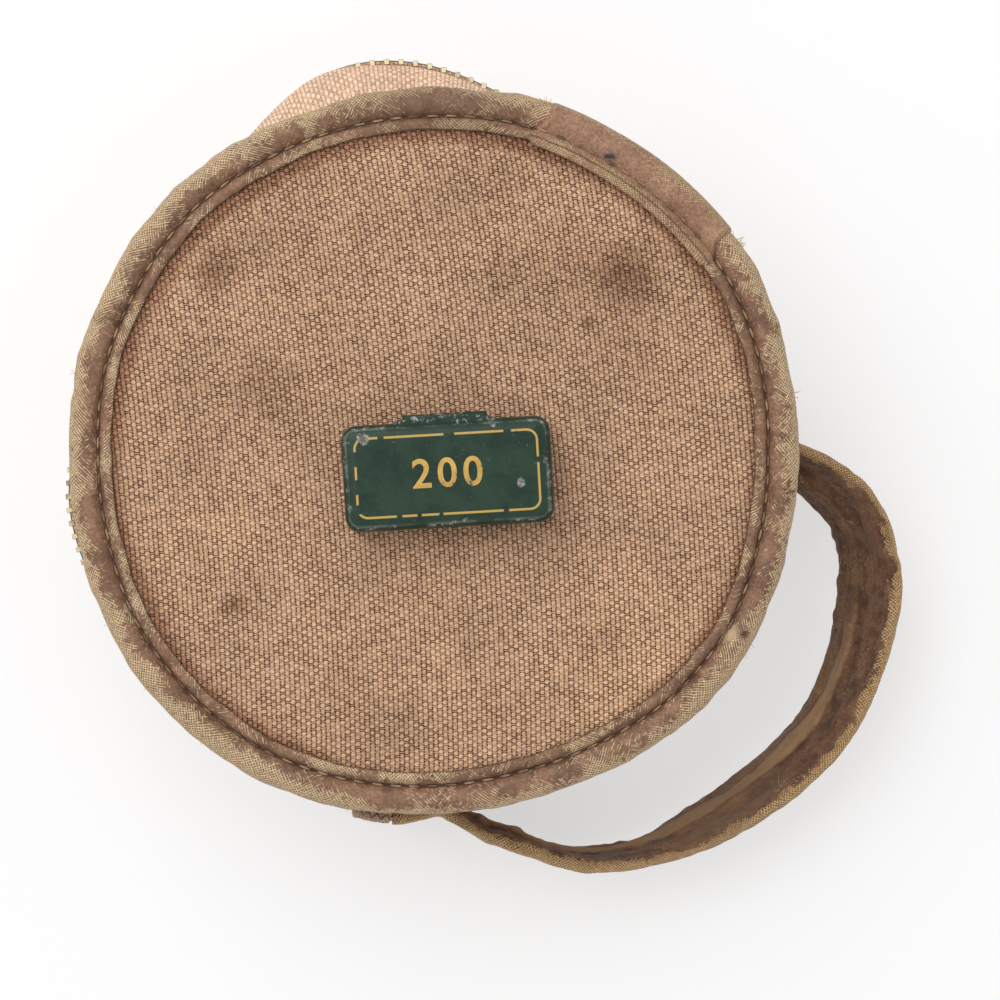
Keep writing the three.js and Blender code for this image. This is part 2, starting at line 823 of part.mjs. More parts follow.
// A hinge knuckle with its leaf, which reaches the shell above (up = 1) or below (up = -1) the pin
function knuckle(from, to, up) {
  const y0 = from * caseHingeWidth + gap / 2;
  const y1 = to * caseHingeWidth - gap / 2;
  const near = caseSplit + up * gap / 2;
  const far = near + up * caseLeafThickness;
  const barrel = crossBar(caseKnuckleRadius, caseHingePlace, y0, y1, caseSplit);
  const leaf = block(
    caseRadius - caseSheet,
    y0,
    Math.min(near, far),
    caseHingePlace,
    y1,
    Math.max(near, far),
  );
  return joined(barrel, leaf);
}

function makeCase() {
  const [a, b, c, d] = caseHingeShares;
  const bore = crossBar(casePinRadius + gap, caseHingePlace, -caseHingeWidth, caseHingeWidth, caseSplit);
  const holeRadius = catchStemRadius + gap;
  const hole = crossBar(holeRadius, 0, -caseRadius - overrun, -caseRadius + catchReach, catchHeight);
  hole.rotateZ(-Math.PI / 2);
  const base = joined(caseBaseShell(), knuckle(a, b, -1), knuckle(c, d, -1));
  piece('case_base', cut(base, bore, hole), nickel);
  const lid = joined(caseLidShell(), knuckle(b, c, 1));
  piece('case_lid', cut(lid, bore), nickel);
  const half = caseHingeWidth / 2;
  piece('case_hinge_pin', crossBar(casePinRadius, caseHingePlace, -half, half, caseSplit), steel);
  makeCatch();
}

function makeCatch() {
  const reach = caseSheet + catchReach;
  const stem = disc(catchStemRadius, -reach, reach + catchTravel + gap + catchHeadThickness / 2, pinSteps);
  const head = disc(catchHeadRadius, catchTravel + gap, catchHeadThickness, pinSteps);
  const button = joined(stem, head).rotateY(-Math.PI / 2);
  button.translate(-caseRadius, 0, catchHeight);
  piece('catch_button', button, nickel);
}

// The clockwork

// A wheel's outline with short straight-sided teeth, the first one centred on +X
function gearOutline(teeth, module) {
  const pitchRadius = (teeth * module) / 2;
  const tip = pitchRadius + addendumShare * module;
  const root = pitchRadius - dedendumShare * module;
  const step = (2 * Math.PI) / teeth;
  return Array.from({ length: teeth }, (_, i) => [
    [root, -gearRootShare],
    [tip, -gearTipShare],
    [tip, gearTipShare],
    [root, gearRootShare],
  ].map(([radius, share]) => {
    const turn = step * (i + share);
    return point(radius * Math.cos(turn), radius * Math.sin(turn));
  })).flat();
}

function gear(teeth, module, bottom, thickness, bore) {
  const holes = bore ? [circle(bore, pinSteps)] : [];
  return extruded(gearOutline(teeth, module), thickness, holes).translate(0, 0, bottom);
}

const greatPitch = (greatWheelTeeth * greatModule) / 2;
const barrelRadius = greatPitch - barrelToothRim;
const secondPinionPitch = (secondPinionTeeth * greatModule) / 2;
const secondPitch = (secondWheelTeeth * secondModule) / 2;
const spindlePitch = (spindlePinionTeeth * secondModule) / 2;
const wormWheelPitch = (wormWheelTeeth * wormModule) / 2;
const governorX = wormWheelPitch + wormPitchRadius;

// The second arbor meshes with the barrel and with the spindle, which fixes its place
const toBarrel = greatPitch + secondPinionPitch;
const toSpindle = secondPitch + spindlePitch;
const secondX = -(barrelDistance ** 2 + toSpindle ** 2 - toBarrel ** 2) / (2 * barrelDistance);
const secondY = -Math.sqrt(toSpindle ** 2 - secondX ** 2);
const barrelToSecond = Math.atan2(secondY, secondX + barrelDistance);
const secondToSpindle = Math.atan2(-secondY, -secondX);
const barrelBottom = basePlateTop + wheelThickness + pinionRise + 2 * runningGap;
const barrelTop = barrelBottom + barrelHeight;
const governorHeight = basePlateTop + wormWheelHeight;

function makePlates() {
  const places = [[0, 0], [-barrelDistance, 0], [secondX, secondY]];
  const pivots = places.map(([x, y]) => circle(pivotBore, pinSteps, x, y));
  const lower = disc(basePlateRadius, basePlateBottom, plateThickness, wheelSteps, pivots);
  piece('motor_base_plate', lower, brass);
  const bores = [spindleRadius + runningGap, arborRadius + gap, pivotBore];
  const holes = places.map(([x, y], i) => circle(bores[i], pinSteps, x, y));
  const plate = disc(motorPlateRadius, motorPlateBottom, plateThickness, caseSteps, holes);
  const postBottom = motorPlateTop - plateThickness / 2;
  const post = disc(brakePostRadius, postBottom, brakeThickness + overrun, pinSteps);
  const turn = degrees(brakeAngle);
  post.translate(brakeDistance * Math.cos(turn), brakeDistance * Math.sin(turn), 0);
  piece('motor_plate', joined(plate, post), nickel);
  pillarAngles.forEach((angle, i) => {
    const x = pillarDistance * Math.cos(degrees(angle));
    const y = pillarDistance * Math.sin(degrees(angle));
    const pillar = disc(pillarRadius, basePlateTop + gap, motorHeight - 2 * gap, pinSteps);
    piece(`pillar_${i + 1}`, pillar.translate(x, y, 0), brass);
  });
}

function makeBarrel() {
  const barrel = placed(-barrelDistance, 0);
  const bore = arborRadius + runningGap;
  const inner = barrelRadius - barrelWall;
  const drum = turned([
    point(bore, barrelBottom),
    point(barrelRadius, barrelBottom),
    point(barrelRadius, barrelTop),
    point(inner, barrelTop),
    point(inner, barrelBottom + barrelWall),
    point(bore, barrelBottom + barrelWall),
  ], wheelSteps);
  const wheelBottom = barrelTop - wheelThickness;
  const seat = circle(inner + barrelWall / 2, wheelSteps);
  const teeth = extruded(gearOutline(greatWheelTeeth, greatModule), wheelThickness, [seat]);
  teeth.translate(0, 0, wheelBottom);
  piece('spring_barrel', joined(drum, teeth).rotateZ(barrelToSecond), brass, barrel);
  const coverBottom = barrelTop - barrelCoverThickness;
  const hole = circle(bore, pinSteps);
  const cover = disc(inner - gap, coverBottom, barrelCoverThickness, wheelSteps, [hole]);
  piece('barrel_cover', cover, brass, barrel);
  piece('mainspring', mainspring(inner), blueSteel, barrel);
  piece('winding_arbor', windingArbor(), steel, barrel);
  const ratchet = ratchetOutline();
  const ratchetBottom = motorPlateTop + gap;
  const ratchetHole = circle(arborRadius + gap, pinSteps);
  const wheel = extruded(ratchet, ratchetThickness, [ratchetHole]).translate(0, 0, ratchetBottom);
  piece('ratchet_wheel', wheel, steel, barrel);
  makeClick(barrel, ratchetBottom);
}

// A flat strip wound in a spiral; the least gap between its loops is printed
function mainspring(drumRadius) {
  const outer = drumRadius - gap - springThickness / 2;
  const steps = springLoops * springStepsPerLoop;
  const bottom = barrelBottom + barrelWall + runningGap;
  const radii = Array.from({ length: steps + 1 }, (_, i) => lerp(springInnerRadius, outer, i / steps));
  const least = Math.min(...radii.slice(springStepsPerLoop).map((radius, i) => radius - radii[i]));
  console.log(`mainspring: least gap between loops ${(least - springThickness).toFixed(2)} mm`);
  const outline = rectangle(-springThickness / 2, bottom, springThickness / 2, bottom + springHeight);
  const sections = radii.map((radius, i) => {
    const turn = (2 * Math.PI * i) / springStepsPerLoop;
    return outline.map((p) => new THREE.Vector3(
      (radius + p.x) * Math.cos(turn),
      (radius + p.x) * Math.sin(turn),
      p.y,
    ));
  });
  return lofted(sections, outline);
}

function windingArbor() {
  const shoulder = basePlateTop + gap;
  const squareBottom = motorPlateTop + gap + ratchetThickness;
  const shaft = turned([
    point(0, basePlateBottom),
    point(pivotRadius, basePlateBottom),
    point(pivotRadius, shoulder),
    point(arborRadius, shoulder),
    point(arborRadius, squareBottom),
    point(0, squareBottom),
  ], pinSteps);
  const half = arborSquareHalf;
  const square = block(-half, -half, squareBottom - gap, half, half, squareBottom + arborSquareHeight);
  return joined(shaft, square);
}

function ratchetOutline() {
  const step = (2 * Math.PI) / ratchetTeeth;
  return Array.from({ length: ratchetTeeth }, (_, i) => {
    const turn = step * i;
    const root = ratchetRadius - ratchetToothDepth;
    return [
      point(root * Math.cos(turn), root * Math.sin(turn)),
      point(ratchetRadius * Math.cos(turn), ratchetRadius * Math.sin(turn)),
    ];
  }).flat();
}

// The click is pivoted beside the ratchet and its nose lies against a tooth
function makeClick(parent, bottom) {
  const reach = ratchetRadius + gap + clickLength;
  const turn = degrees(clickAngle);
  const place = placed(reach * Math.cos(turn), reach * Math.sin(turn), bottom, turn + Math.PI, parent);
  const head = disc(clickRadius, 0, ratchetThickness, pinSteps);
  const nose = extruded([
    point(0, -clickWidth / 2),
    point(clickLength, -clickWidth * clickNoseShare / 2),
    point(clickLength, clickWidth * clickNoseShare / 2),
    point(0, clickWidth / 2),
  ], ratchetThickness);
  piece('click', joined(head, nose), steel, place);
  const side = clickWidth / 2 + gap;
  const spring = extruded([
    point(0, clickRadius + gap),
    point(clickSpringLength / 2, side),
    point(clickSpringLength, side + clickSpringThickness),
    point(clickSpringLength, side + 2 * clickSpringThickness),
    point(clickSpringLength / 2, side + clickSpringThickness),
    point(0, clickRadius + gap + clickSpringThickness),
    point(-clickRadius, clickRadius + gap + clickSpringThickness),
    point(-clickRadius, clickRadius + gap),
  ], ratchetThickness);
  piece('click_spring', spring, blueSteel, place);
}

// Turns a wheel so that one of its gaps faces the tooth of the wheel it meets
function gapFacing(heading, teeth) {
  return heading + Math.PI + Math.PI / teeth;
}

function makeTrain() {
  const second = placed(secondX, secondY);
  const pinionBottom = barrelTop - wheelThickness - pinionRise;
  const wheelBottom = basePlateTop + runningGap;
  const arborBottom = basePlateTop + gap;
  const arborTop = motorPlateBottom - gap;
  const shaft = turned([
    point(0, basePlateBottom),
    point(pivotRadius, basePlateBottom),
    point(pivotRadius, arborBottom),
    point(secondArborRadius, arborBottom),
    point(secondArborRadius, arborTop),
    point(pivotRadius, arborTop),
    point(pivotRadius, motorPlateTop),
    point(0, motorPlateTop),
  ], pinSteps);
  const pinion = gear(secondPinionTeeth, greatModule, pinionBottom, pinionThickness);
  pinion.rotateZ(gapFacing(barrelToSecond, secondPinionTeeth));
  piece('second_arbor', joined(shaft, pinion), steel, second);
  const wheel = gear(secondWheelTeeth, secondModule, wheelBottom, wheelThickness, secondArborRadius + gap);
  piece('second_wheel', wheel.rotateZ(secondToSpindle), brass, second);
  makeSpindle(wheelBottom);
}

function makeSpindle(wheelBottom) {
  const arborBottom = basePlateTop + gap;
  const top = motorPlateTop + runningGap + hubThickness;
  const shaft = turned([
    point(0, basePlateBottom),
    point(pivotRadius, basePlateBottom),
    point(pivotRadius, arborBottom),
    point(spindleRadius, arborBottom),
    point(spindleRadius, top),
    point(0, top),
  ], pinSteps);
  const pinion = gear(spindlePinionTeeth, secondModule, wheelBottom - gap / 2, wheelThickness + gap);
  pinion.rotateZ(gapFacing(secondToSpindle, spindlePinionTeeth));
  piece('spindle', joined(shaft, pinion), steel);
  const wormWheel = gear(
    wormWheelTeeth,
    wormModule,
    governorHeight - wheelThickness / 2,
    wheelThickness,
    spindleRadius + gap,
  );
  piece('worm_wheel', wormWheel, brass);
}

// The governor: a worm, three balls on bowed springs and a brake disc, all on one level shaft

function wormThread() {
  const pitch = Math.PI * wormModule;
  const base = wormRootRadius - gap;
  const outline = [
    point(base, -wormThreadRootWidth / 2),
    point(wormRootRadius + wormThreadHeight, -wormThreadTipWidth / 2),
    point(wormRootRadius + wormThreadHeight, wormThreadTipWidth / 2),
    point(base, wormThreadRootWidth / 2),
  ];
  const steps = wormTurns * wormStepsPerTurn;
  const sections = Array.from({ length: steps + 1 }, (_, i) => {
    const turn = (2 * Math.PI * i) / wormStepsPerTurn;
    const rise = pitch * (i / wormStepsPerTurn - wormTurns / 2);
    return outline.map((p) => new THREE.Vector3(p.x * Math.cos(turn), p.x * Math.sin(turn), p.y + rise));
  });
  return lofted(sections, outline);
}

function governorSpring(index) {
  const middle = (governorSpringStart + governorSpringEnd) / 2;
  const half = (governorSpringEnd - governorSpringStart) / 2;
  const outline = rectangle(-governorSpringWidth / 2, 0, governorSpringWidth / 2, governorSpringThickness);
  const steps = cornerSteps + 1;
  const sections = Array.from({ length: steps + 1 }, (_, i) => {
    const along = lerp(-1, 1, i / steps);
    const bow = lerp(governorCollarRadius, governorBallOrbit, Math.cos((Math.PI / 2) * along));
    const lift = bow - governorSpringThickness;
    return outline.map((p) => new THREE.Vector3(p.x, lift + p.y, middle + half * along));
  });
  const ball = weld(new THREE.SphereGeometry(governorBallRadius, pinSteps, cornerSteps + 1));
  ball.translate(0, governorBallOrbit, middle);
  return joined(lofted(sections, outline), ball).rotateZ((2 * Math.PI * index) / governorBalls);
}

function makeGovernor() {
  const axis = placed(governorX, 0, governorHeight);
  const shaft = new THREE.Group();
  shaft.rotation.x = -Math.PI / 2;
  axis.add(shaft);
  const rod = disc(governorShaftRadius, governorStart, governorEnd - governorStart, pinSteps);
  const wormHalf = (Math.PI * wormModule * (wormTurns + 1)) / 2;
  const core = disc(wormRootRadius, -wormHalf, 2 * wormHalf, pinSteps);
  piece('governor_worm', joined(rod, core, wormThread()), steel, shaft);
  const collars = [governorSpringStart, governorSpringEnd].map((place) =>
    disc(governorCollarRadius, place - governorCollarLength / 2, governorCollarLength, pinSteps));
  const springs = Array.from({ length: governorBalls }, (_, i) => governorSpring(i));
  const bore = disc(
    governorShaftRadius + gap,
    governorSpringStart - governorCollarLength,
    governorSpringEnd - governorSpringStart + 2 * governorCollarLength,
    pinSteps,
  );
  piece('governor_balls', cut(joined(...springs, ...collars), bore), brass, shaft);
  const discStart = governorSpringEnd + governorCollarLength / 2 + gap;
  const hole = circle(governorBore, pinSteps);
  const brakeDisc = disc(governorDiscRadius, discStart, governorDiscThickness, wheelSteps, [hole]);
  piece('governor_disc', brakeDisc, brass, shaft);
  makeBracket('governor_bracket_front', governorStart + gap, -1);
  makeBracket('governor_bracket_back', governorEnd - gap - governorBracketThickness, 1);
}

function makeBracket(name, near, away) {
  const half = governorBracketWidth / 2;
  const foot = basePlateTop + gap;
  const top = governorHeight + half;
  const far = near + governorBracketThickness;
  const sheet = block(-half, near, foot, half, far, top);
  const start = away > 0 ? near : near - governorBracketFoot;
  const flange = block(
    -half,
    start,
    foot,
    half,
    start + governorBracketFoot + governorBracketThickness,
    foot + plateThickness,
  );
  const bore = crossBar(governorBore, 0, near - overrun, far + overrun, governorHeight);
  piece(name, cut(joined(sheet, flange), bore), brass, placed(governorX, 0));
}

// The turntable: a small hub with felt, on the spindle

function makeTurntable() {
  const bottom = motorPlateTop + runningGap;
  const top = bottom + hubThickness;
  const bore = spindleRadius + gap;
  const hub = turned([
    point(bore, bottom),
    point(hubRadius - hubRim, bottom + hubHollow),
    point(hubRadius - hubRim, bottom),
    point(hubRadius, bottom),
    point(hubRadius, top),
    point(hubBossRadius, top),
    point(hubBossRadius - gap, bottom + hubBossHeight),
    point(0, bottom + hubBossHeight),
    point(0, top + gap),
    point(bore, top + gap),
  ], wheelSteps);
  piece('turntable_hub', hub, nickel);
  const hole = circle(hubBossRadius + gap, pinSteps);
  piece('turntable_felt', disc(hubRadius - runningGap, top + gap, feltThickness, wheelSteps, [hole]), felt);
}

function makeBrake() {
  const turn = degrees(brakeAngle);
  const place = placed(brakeDistance * Math.cos(turn), brakeDistance * Math.sin(turn), 0, turn + Math.PI);
  const bottom = motorPlateTop + runningGap;
  const padPlace = brakeDistance - hubRadius - gap - brakePadRadius;
  const half = brakeWidth / 2;
  const bar = block(-brakeHandle, -half, bottom, padPlace, half, bottom + brakeThickness);
  const eye = disc(brakeWidth, bottom, brakeThickness, pinSteps);
  const pad = disc(brakePadRadius, bottom, brakeThickness, pinSteps).translate(padPlace, 0, 0);
  const bore = disc(brakePostRadius + gap, bottom - overrun, brakeThickness + 2 * overrun, pinSteps);
  piece('brake_lever', cut(joined(bar, eye, pad), bore), nickel, place);
}

// The tone arm: a bowed tube that swivels on its post and carries the flat sound box

function makeToneArm() {
  const foot = point(toneDistance, 0).rotateAround(point(0, 0), degrees(toneAngle));
  const boxCentre = point(soundBoxDistance, 0).rotateAround(point(0, 0), degrees(soundBoxAngle));
  const reach = boxCentre.clone().sub(foot);
  const toneLength = reach.length();
  const place = placed(foot.x, foot.y, 0, reach.angle());
  const flangeBottom = motorPlateTop + gap;
  const columnBottom = flangeBottom + toneFlangeThickness;
  const columnTop = flangeBottom + toneColumnHeight;
  const pinTop = columnTop + tonePinHeight;
  const post = turned([
    point(0, flangeBottom),
    point(toneFlangeRadius, flangeBottom),
    point(toneFlangeRadius, columnBottom - gap),
    point(toneColumnRadius, columnBottom),
    point(toneColumnRadius, columnTop),
    point(tonePinRadius, columnTop),
    point(tonePinRadius, pinTop),
    point(0, pinTop),
  ], pinSteps);
  piece('tone_arm_post', post, nickel, place);
  const collarBottom = columnTop + gap;
  const collar = disc(toneCollarRadius, collarBottom, tonePinHeight, wheelSteps);
  const bore = disc(tonePinRadius + gap, collarBottom - overrun, tonePinHeight + 2 * overrun, pinSteps);
  const tubeHeight = collarBottom + toneTubeRadius;
  const tubeEnd = toneLength - soundBoxRadius - gap / 2;
  const route = new THREE.QuadraticBezierCurve3(
    new THREE.Vector3(toneCollarRadius - toneTubeRadius / 2, 0, tubeHeight),
    new THREE.Vector3(tubeEnd / 2, toneBow, tubeHeight),
    new THREE.Vector3(tubeEnd, 0, tubeHeight),
  );
  const tube = weld(new THREE.ExtrudeGeometry(new THREE.Shape(circle(toneTubeRadius, toneTubeSides)), {
    steps: toneTubeSteps,
    extrudePath: route,
  }));
  piece('tone_arm', cut(joined(collar, facingOut(tube)), bore), nickel, place);
  makeSoundBox(placed(toneLength, 0, 0, 0, place), collarBottom);
}

function makeSoundBox(box, bottom) {
  const inner = soundBoxRadius - soundBoxWall;
  const top = bottom + soundBoxHeight;
  const shell = turned([
    point(0, bottom),
    point(soundBoxRadius - soundBoxWall, bottom),
    point(soundBoxRadius, bottom + soundBoxWall),
    point(soundBoxRadius, top - soundBoxWall / 2),
    point(soundBoxRadius - soundBoxWall / 2, top),
    point(inner, top),
    point(inner, top - soundBoxRimDrop),
    point(inner - soundBoxWall, top - soundBoxRimDrop),
    point(inner - soundBoxWall, bottom + soundBoxBack),
    point(0, bottom + soundBoxBack),
  ], wheelSteps);
  piece('sound_box', shell, nickel, box);
  const diaphragmBottom = top - soundBoxRimDrop + gap;
  piece('diaphragm', disc(inner - gap, diaphragmBottom, diaphragmThickness, wheelSteps), mica, box);
  const barBottom = top + gap;
  const barTop = barBottom + stylusThickness;
  const half = stylusWidth / 2;
  const bar = block(0, -half, barBottom, soundBoxRadius + overrun, half, barTop);
  const footBottom = diaphragmBottom + diaphragmThickness + gap;
  const foot = disc(half, footBottom, barTop - footBottom, pinSteps);
  const holderNear = soundBoxRadius + gap;
  const holderFar = holderNear + stylusHolderLength;
  const holder = block(holderNear, -half, barBottom - stylusHolderLength, holderFar, half, barTop);
  piece('stylus_bar', joined(bar, foot, holder), nickel, box);
}

// The crank lies in two clips on the motor plate, with its knob up

function makeCrank() {
  const place = placed(0, -crankOffset);
  const bottom = motorPlateTop + 2 * gap + clipWall;
  const outline = roundedRectangle(2 * crankHalfLength, crankWidth, crankWidth / 2 - gap);
  const bar = extruded(outline, crankThickness).translate(0, 0, bottom);
  const end = crankHalfLength - crankWidth / 2;
  const socket = disc(crankSocketRadius, bottom, crankSocketHeight, pinSteps).translate(-end, 0, 0);
  const half = crankSocketHalf;
  const square = block(
    -end - half,
    -half,
    bottom + crankThickness,
    -end + half,
    half,
    bottom + crankSocketHeight + overrun,
  );
  const pinHeight = crankThickness + gap + knobLength;
  const pin = disc(crankPinRadius, bottom + crankThickness / 2, pinHeight - crankThickness / 2, pinSteps);
  piece('crank', cut(joined(bar, socket, pin.translate(end, 0, 0)), square), nickel, place);
  const knobBottom = bottom + crankThickness + gap;
  const outside = knobShares.map((share, i) =>
    point(knobRadius * share, knobBottom + (knobLength * i) / (knobShares.length - 1)));
  const bore = crankPinRadius + gap;
  const knob = turned([
    point(bore, knobBottom),
    ...outside,
    point(bore, knobBottom + knobLength),
  ], pinSteps);
  piece('crank_knob', knob, blackWood, placed(end, 0, 0, 0, place));
  ['crank_clip_inner', 'crank_clip_outer'].forEach((name, i) => {
    const x = (i ? 1 : -1) * clipPlaceShare * crankHalfLength;
    piece(name, clipGeometry(x), nickel, place);
  });
}

function clipGeometry(x) {
  const inside = crankWidth / 2 + gap;
  const outside = inside + clipWall;
  const bottom = motorPlateTop + gap;
  const top = bottom + clipWall + gap + crankThickness;
  const outline = [
    point(-outside, bottom),
    point(outside, bottom),
    point(outside, top),
    point(inside, top),
    point(inside, bottom + clipWall),
    point(-inside, bottom + clipWall),
    point(-inside, top),
    point(-outside, top),
  ];
  const clip = extruded(outline, clipLength);
  return clip.rotateX(Math.PI / 2).rotateZ(Math.PI / 2).translate(x - clipLength / 2, 0, 0);
}

// The resonator: a bowl and a cone, nested in the lid of the case

function dishOutline(radius, top, sheet) {
  const spread = radius - resonatorThroat;
  const upper = resonatorEaseShares.map((share) =>
    point(resonatorThroat + spread * share, top - resonatorDepth * share * share));
  const lower = upper.map((p) => point(p.x, p.y - sheet)).reverse();
  return [...upper, ...lower].reverse();
}

function makeResonator() {
  const top = caseTop - caseSheet - caseLidRecessDepth - gap;
  piece('resonator_bowl', turned(dishOutline(resonatorRadius, top, resonatorSheet), caseSteps), celluloid);
  const coneTop = top - resonatorSheet - runningGap;
  piece('resonator_cone', turned(dishOutline(coneRadius, coneTop, resonatorSheet), caseSteps), celluloid);
}

// The needle tin: a stepped tray, a lid on a pin hinge, and loose needles

function tinShell(levels) {
  const outline = roundedRectangle(tinLength, tinWidth, tinCorner);
  const sections = levels.map(([inset, height]) =>
    roundedRectangle(tinLength - 2 * inset, tinWidth - 2 * inset, Math.max(tinCorner - inset, gap))
      .map((p) => new THREE.Vector3(p.x, p.y, height)));
  return lofted(sections, outline);
}

function tinKnuckle(from, to, up) {
  const length = (to - from) * tinHingeWidth - gap;
  const middle = ((from + to) / 2) * tinHingeWidth;
  const y = tinWidth / 2 + tinHingeRadius;
  const barrel = new THREE.CylinderGeometry(tinHingeRadius, tinHingeRadius, length, pinSteps);
  barrel.rotateZ(Math.PI / 2).translate(middle, y, tinStepHeight + gap / 2);
  const near = tinStepHeight + gap / 2 + up * gap / 2;
  const far = near + up * tinHingeRadius;
  const leaf = block(
    middle - length / 2,
    tinWidth / 2 - tinSheet,
    Math.min(near, far),
    middle + length / 2,
    y,
    Math.max(near, far),
  );
  return joined(weld(barrel), leaf);
}

function tinBar(radius, length) {
  const bar = new THREE.CylinderGeometry(radius, radius, length, pinSteps);
  const y = tinWidth / 2 + tinHingeRadius;
  return weld(bar.rotateZ(Math.PI / 2).translate(0, y, tinStepHeight + gap / 2));
}

function needle(index) {
  const row = index % (needleCount / 2);
  const layer = Math.floor(index / (needleCount / 2));
  const tip = needleRadius * needlePointShare;
  const rod = new THREE.CylinderGeometry(tip, needleRadius, needleLength, needleSides);
  rod.rotateZ(Math.PI / 2);
  const y = (row - (needleCount / 2 - 1) / 2 + layer / 2) * needleSpread;
  return weld(rod.translate(layer * needleSpread, y, layer * needleSpread / 2));
}

function makeTin() {
  const tin = placed(tinX, tinY, tinBottom, degrees(tinTurn), phonograph);
  const neckInset = tinSheet + gap;
  const neckTop = tinStepHeight + tinNeckHeight;
  const outside = tinShell([
    [tinTopRound / 2, 0],
    [0, tinTopRound / 2],
    [0, tinStepHeight],
    [neckInset, tinStepHeight],
    [neckInset, neckTop],
  ]);
  const hollow = tinShell([[neckInset + tinSheet, tinSheet], [neckInset + tinSheet, neckTop + overrun]]);
  const [a, b, c, d] = tinKnuckleShares;
  const bore = tinBar(tinPinBore, tinHingeWidth + overrun);
  const tray = joined(cut(outside, hollow), tinKnuckle(a, b, -1), tinKnuckle(c, d, -1));
  piece('tin_base', cut(tray, bore), tinPaint, tin);
  const lidOutside = tinShell([
    [0, tinStepHeight + gap],
    [0, tinHeight - tinTopRound],
    [tinTopRound * tinTopRoundShare, tinHeight - tinTopRound * tinTopRoundShare],
    [tinTopRound, tinHeight],
  ]);
  const lidHollow = tinShell([
    [tinSheet, tinStepHeight - overrun],
    [tinSheet, tinHeight - tinTopRound],
    [tinTopRound, tinHeight - tinSheet],
  ]);
  const lid = joined(cut(lidOutside, lidHollow), tinKnuckle(b, c, 1));
  piece('tin_lid', cut(lid, bore), tinPaint, tin);
  piece('tin_hinge_pin', tinBar(tinPinRadius, tinHingeWidth), bareTin, tin);
  const bundle = Array.from({ length: needleCount }, (_, i) => needle(i));
  const needles = joined(...bundle).translate(0, 0, tinSheet + gap + needleRadius);
  piece('needles', needles, steel, tin);
}

makeBag();
makeZip();
makeSlider();
makeStrap();
makeCase();
makePlates();
makeBarrel();
makeTrain();
makeGovernor();
makeTurntable();
makeBrake();
makeToneArm();
makeCrank();
makeResonator();
makeTin();

export default phonograph;
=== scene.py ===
import math

import bpy
import numpy as np
from mathutils import Matrix, Vector, noise


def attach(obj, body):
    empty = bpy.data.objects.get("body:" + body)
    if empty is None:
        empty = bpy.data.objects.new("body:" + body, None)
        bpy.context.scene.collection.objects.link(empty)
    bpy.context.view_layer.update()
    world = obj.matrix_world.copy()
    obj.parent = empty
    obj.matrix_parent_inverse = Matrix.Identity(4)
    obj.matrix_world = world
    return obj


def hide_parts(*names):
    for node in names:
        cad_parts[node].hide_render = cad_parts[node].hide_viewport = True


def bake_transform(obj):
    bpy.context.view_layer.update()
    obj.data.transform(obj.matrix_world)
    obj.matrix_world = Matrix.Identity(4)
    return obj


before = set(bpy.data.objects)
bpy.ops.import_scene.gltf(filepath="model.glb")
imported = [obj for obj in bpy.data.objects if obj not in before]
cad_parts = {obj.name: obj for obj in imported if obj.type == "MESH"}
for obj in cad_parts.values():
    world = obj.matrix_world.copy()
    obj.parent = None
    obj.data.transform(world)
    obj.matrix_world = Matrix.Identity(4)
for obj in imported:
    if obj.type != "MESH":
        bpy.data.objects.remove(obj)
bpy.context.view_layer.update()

# The camera looks straight down from three quarters of a metre above the floor. Its axis meets
# the floor a little below and to the right of the bag's middle, so the bag's rim hides less of
# the wall at the top and on the left.
mm = 0.001
bpy.ops.object.camera_add(location=(12.56 * mm, -9.0 * mm, 750 * mm), rotation=(0, 0, 0))
camera = bpy.context.object
camera.name = "camera"
camera.data.sensor_width = 36
camera.data.lens = 133.8
bpy.context.scene.camera = camera
bpy.context.scene.view_settings.view_transform = "Standard"


# The floor is a sheet of white paper under an even white sky. One large soft lamp stands up
# and to the left, and it leaves the faint shadow on the lower right of the bag.
def give(tree, node, inputs):
    """Links a node's inputs to other nodes' values, or sets them to plain ones."""
    for name, value in inputs.items():
        if isinstance(value, bpy.types.NodeSocket):
            tree.links.new(value, node.inputs[name])
        else:
            node.inputs[name].default_value = value
    return node


def wire(tree, kind, inputs=None, **settings):
    node = tree.nodes.new(kind)
    for name, value in settings.items():
        setattr(node, name, value)
    return give(tree, node, inputs or {})


def calc(tree, operation, *values):
    return wire(tree, "ShaderNodeMath", dict(enumerate(values)), operation=operation).outputs[0]


def mixed(tree, share, low, high, blend="MIX"):
    node = wire(tree, "ShaderNodeMix", {0: share, 6: low, 7: high}, data_type="RGBA", blend_type=blend)
    return node.outputs[2]


def grains(tree, vector, scale, detail=3.0, rough=0.5, output=0):
    inputs = {"Vector": vector, "Scale": scale, "Detail": detail, "Roughness": rough}
    return wire(tree, "ShaderNodeTexNoise", inputs).outputs[output]


def written(red, green, blue):
    """A colour as it is written in a picture, 0 to 255, in the shader's linear light."""
    shares = [value / 255 for value in (red, green, blue)]
    linear = [s / 12.92 if s <= 0.04045 else ((s + 0.055) / 1.055) ** 2.4 for s in shares]
    return (*linear, 1.0)


def object_space(tree):
    return wire(tree, "ShaderNodeTexCoord").outputs["Object"]


def new_material(name):
    material = bpy.data.materials.new(name)
    material.use_nodes = True
    tree = material.node_tree
    tree.nodes.clear()
    shader = tree.nodes.new("ShaderNodeBsdfPrincipled")
    wire(tree, "ShaderNodeOutputMaterial", {"Surface": shader.outputs[0]})
    return material, tree, shader, object_space(tree)


skyLight = 0.70
lampPower = 9.4
lampSize = 1.1
paperWhite = 0.985
paperShare = 0.55

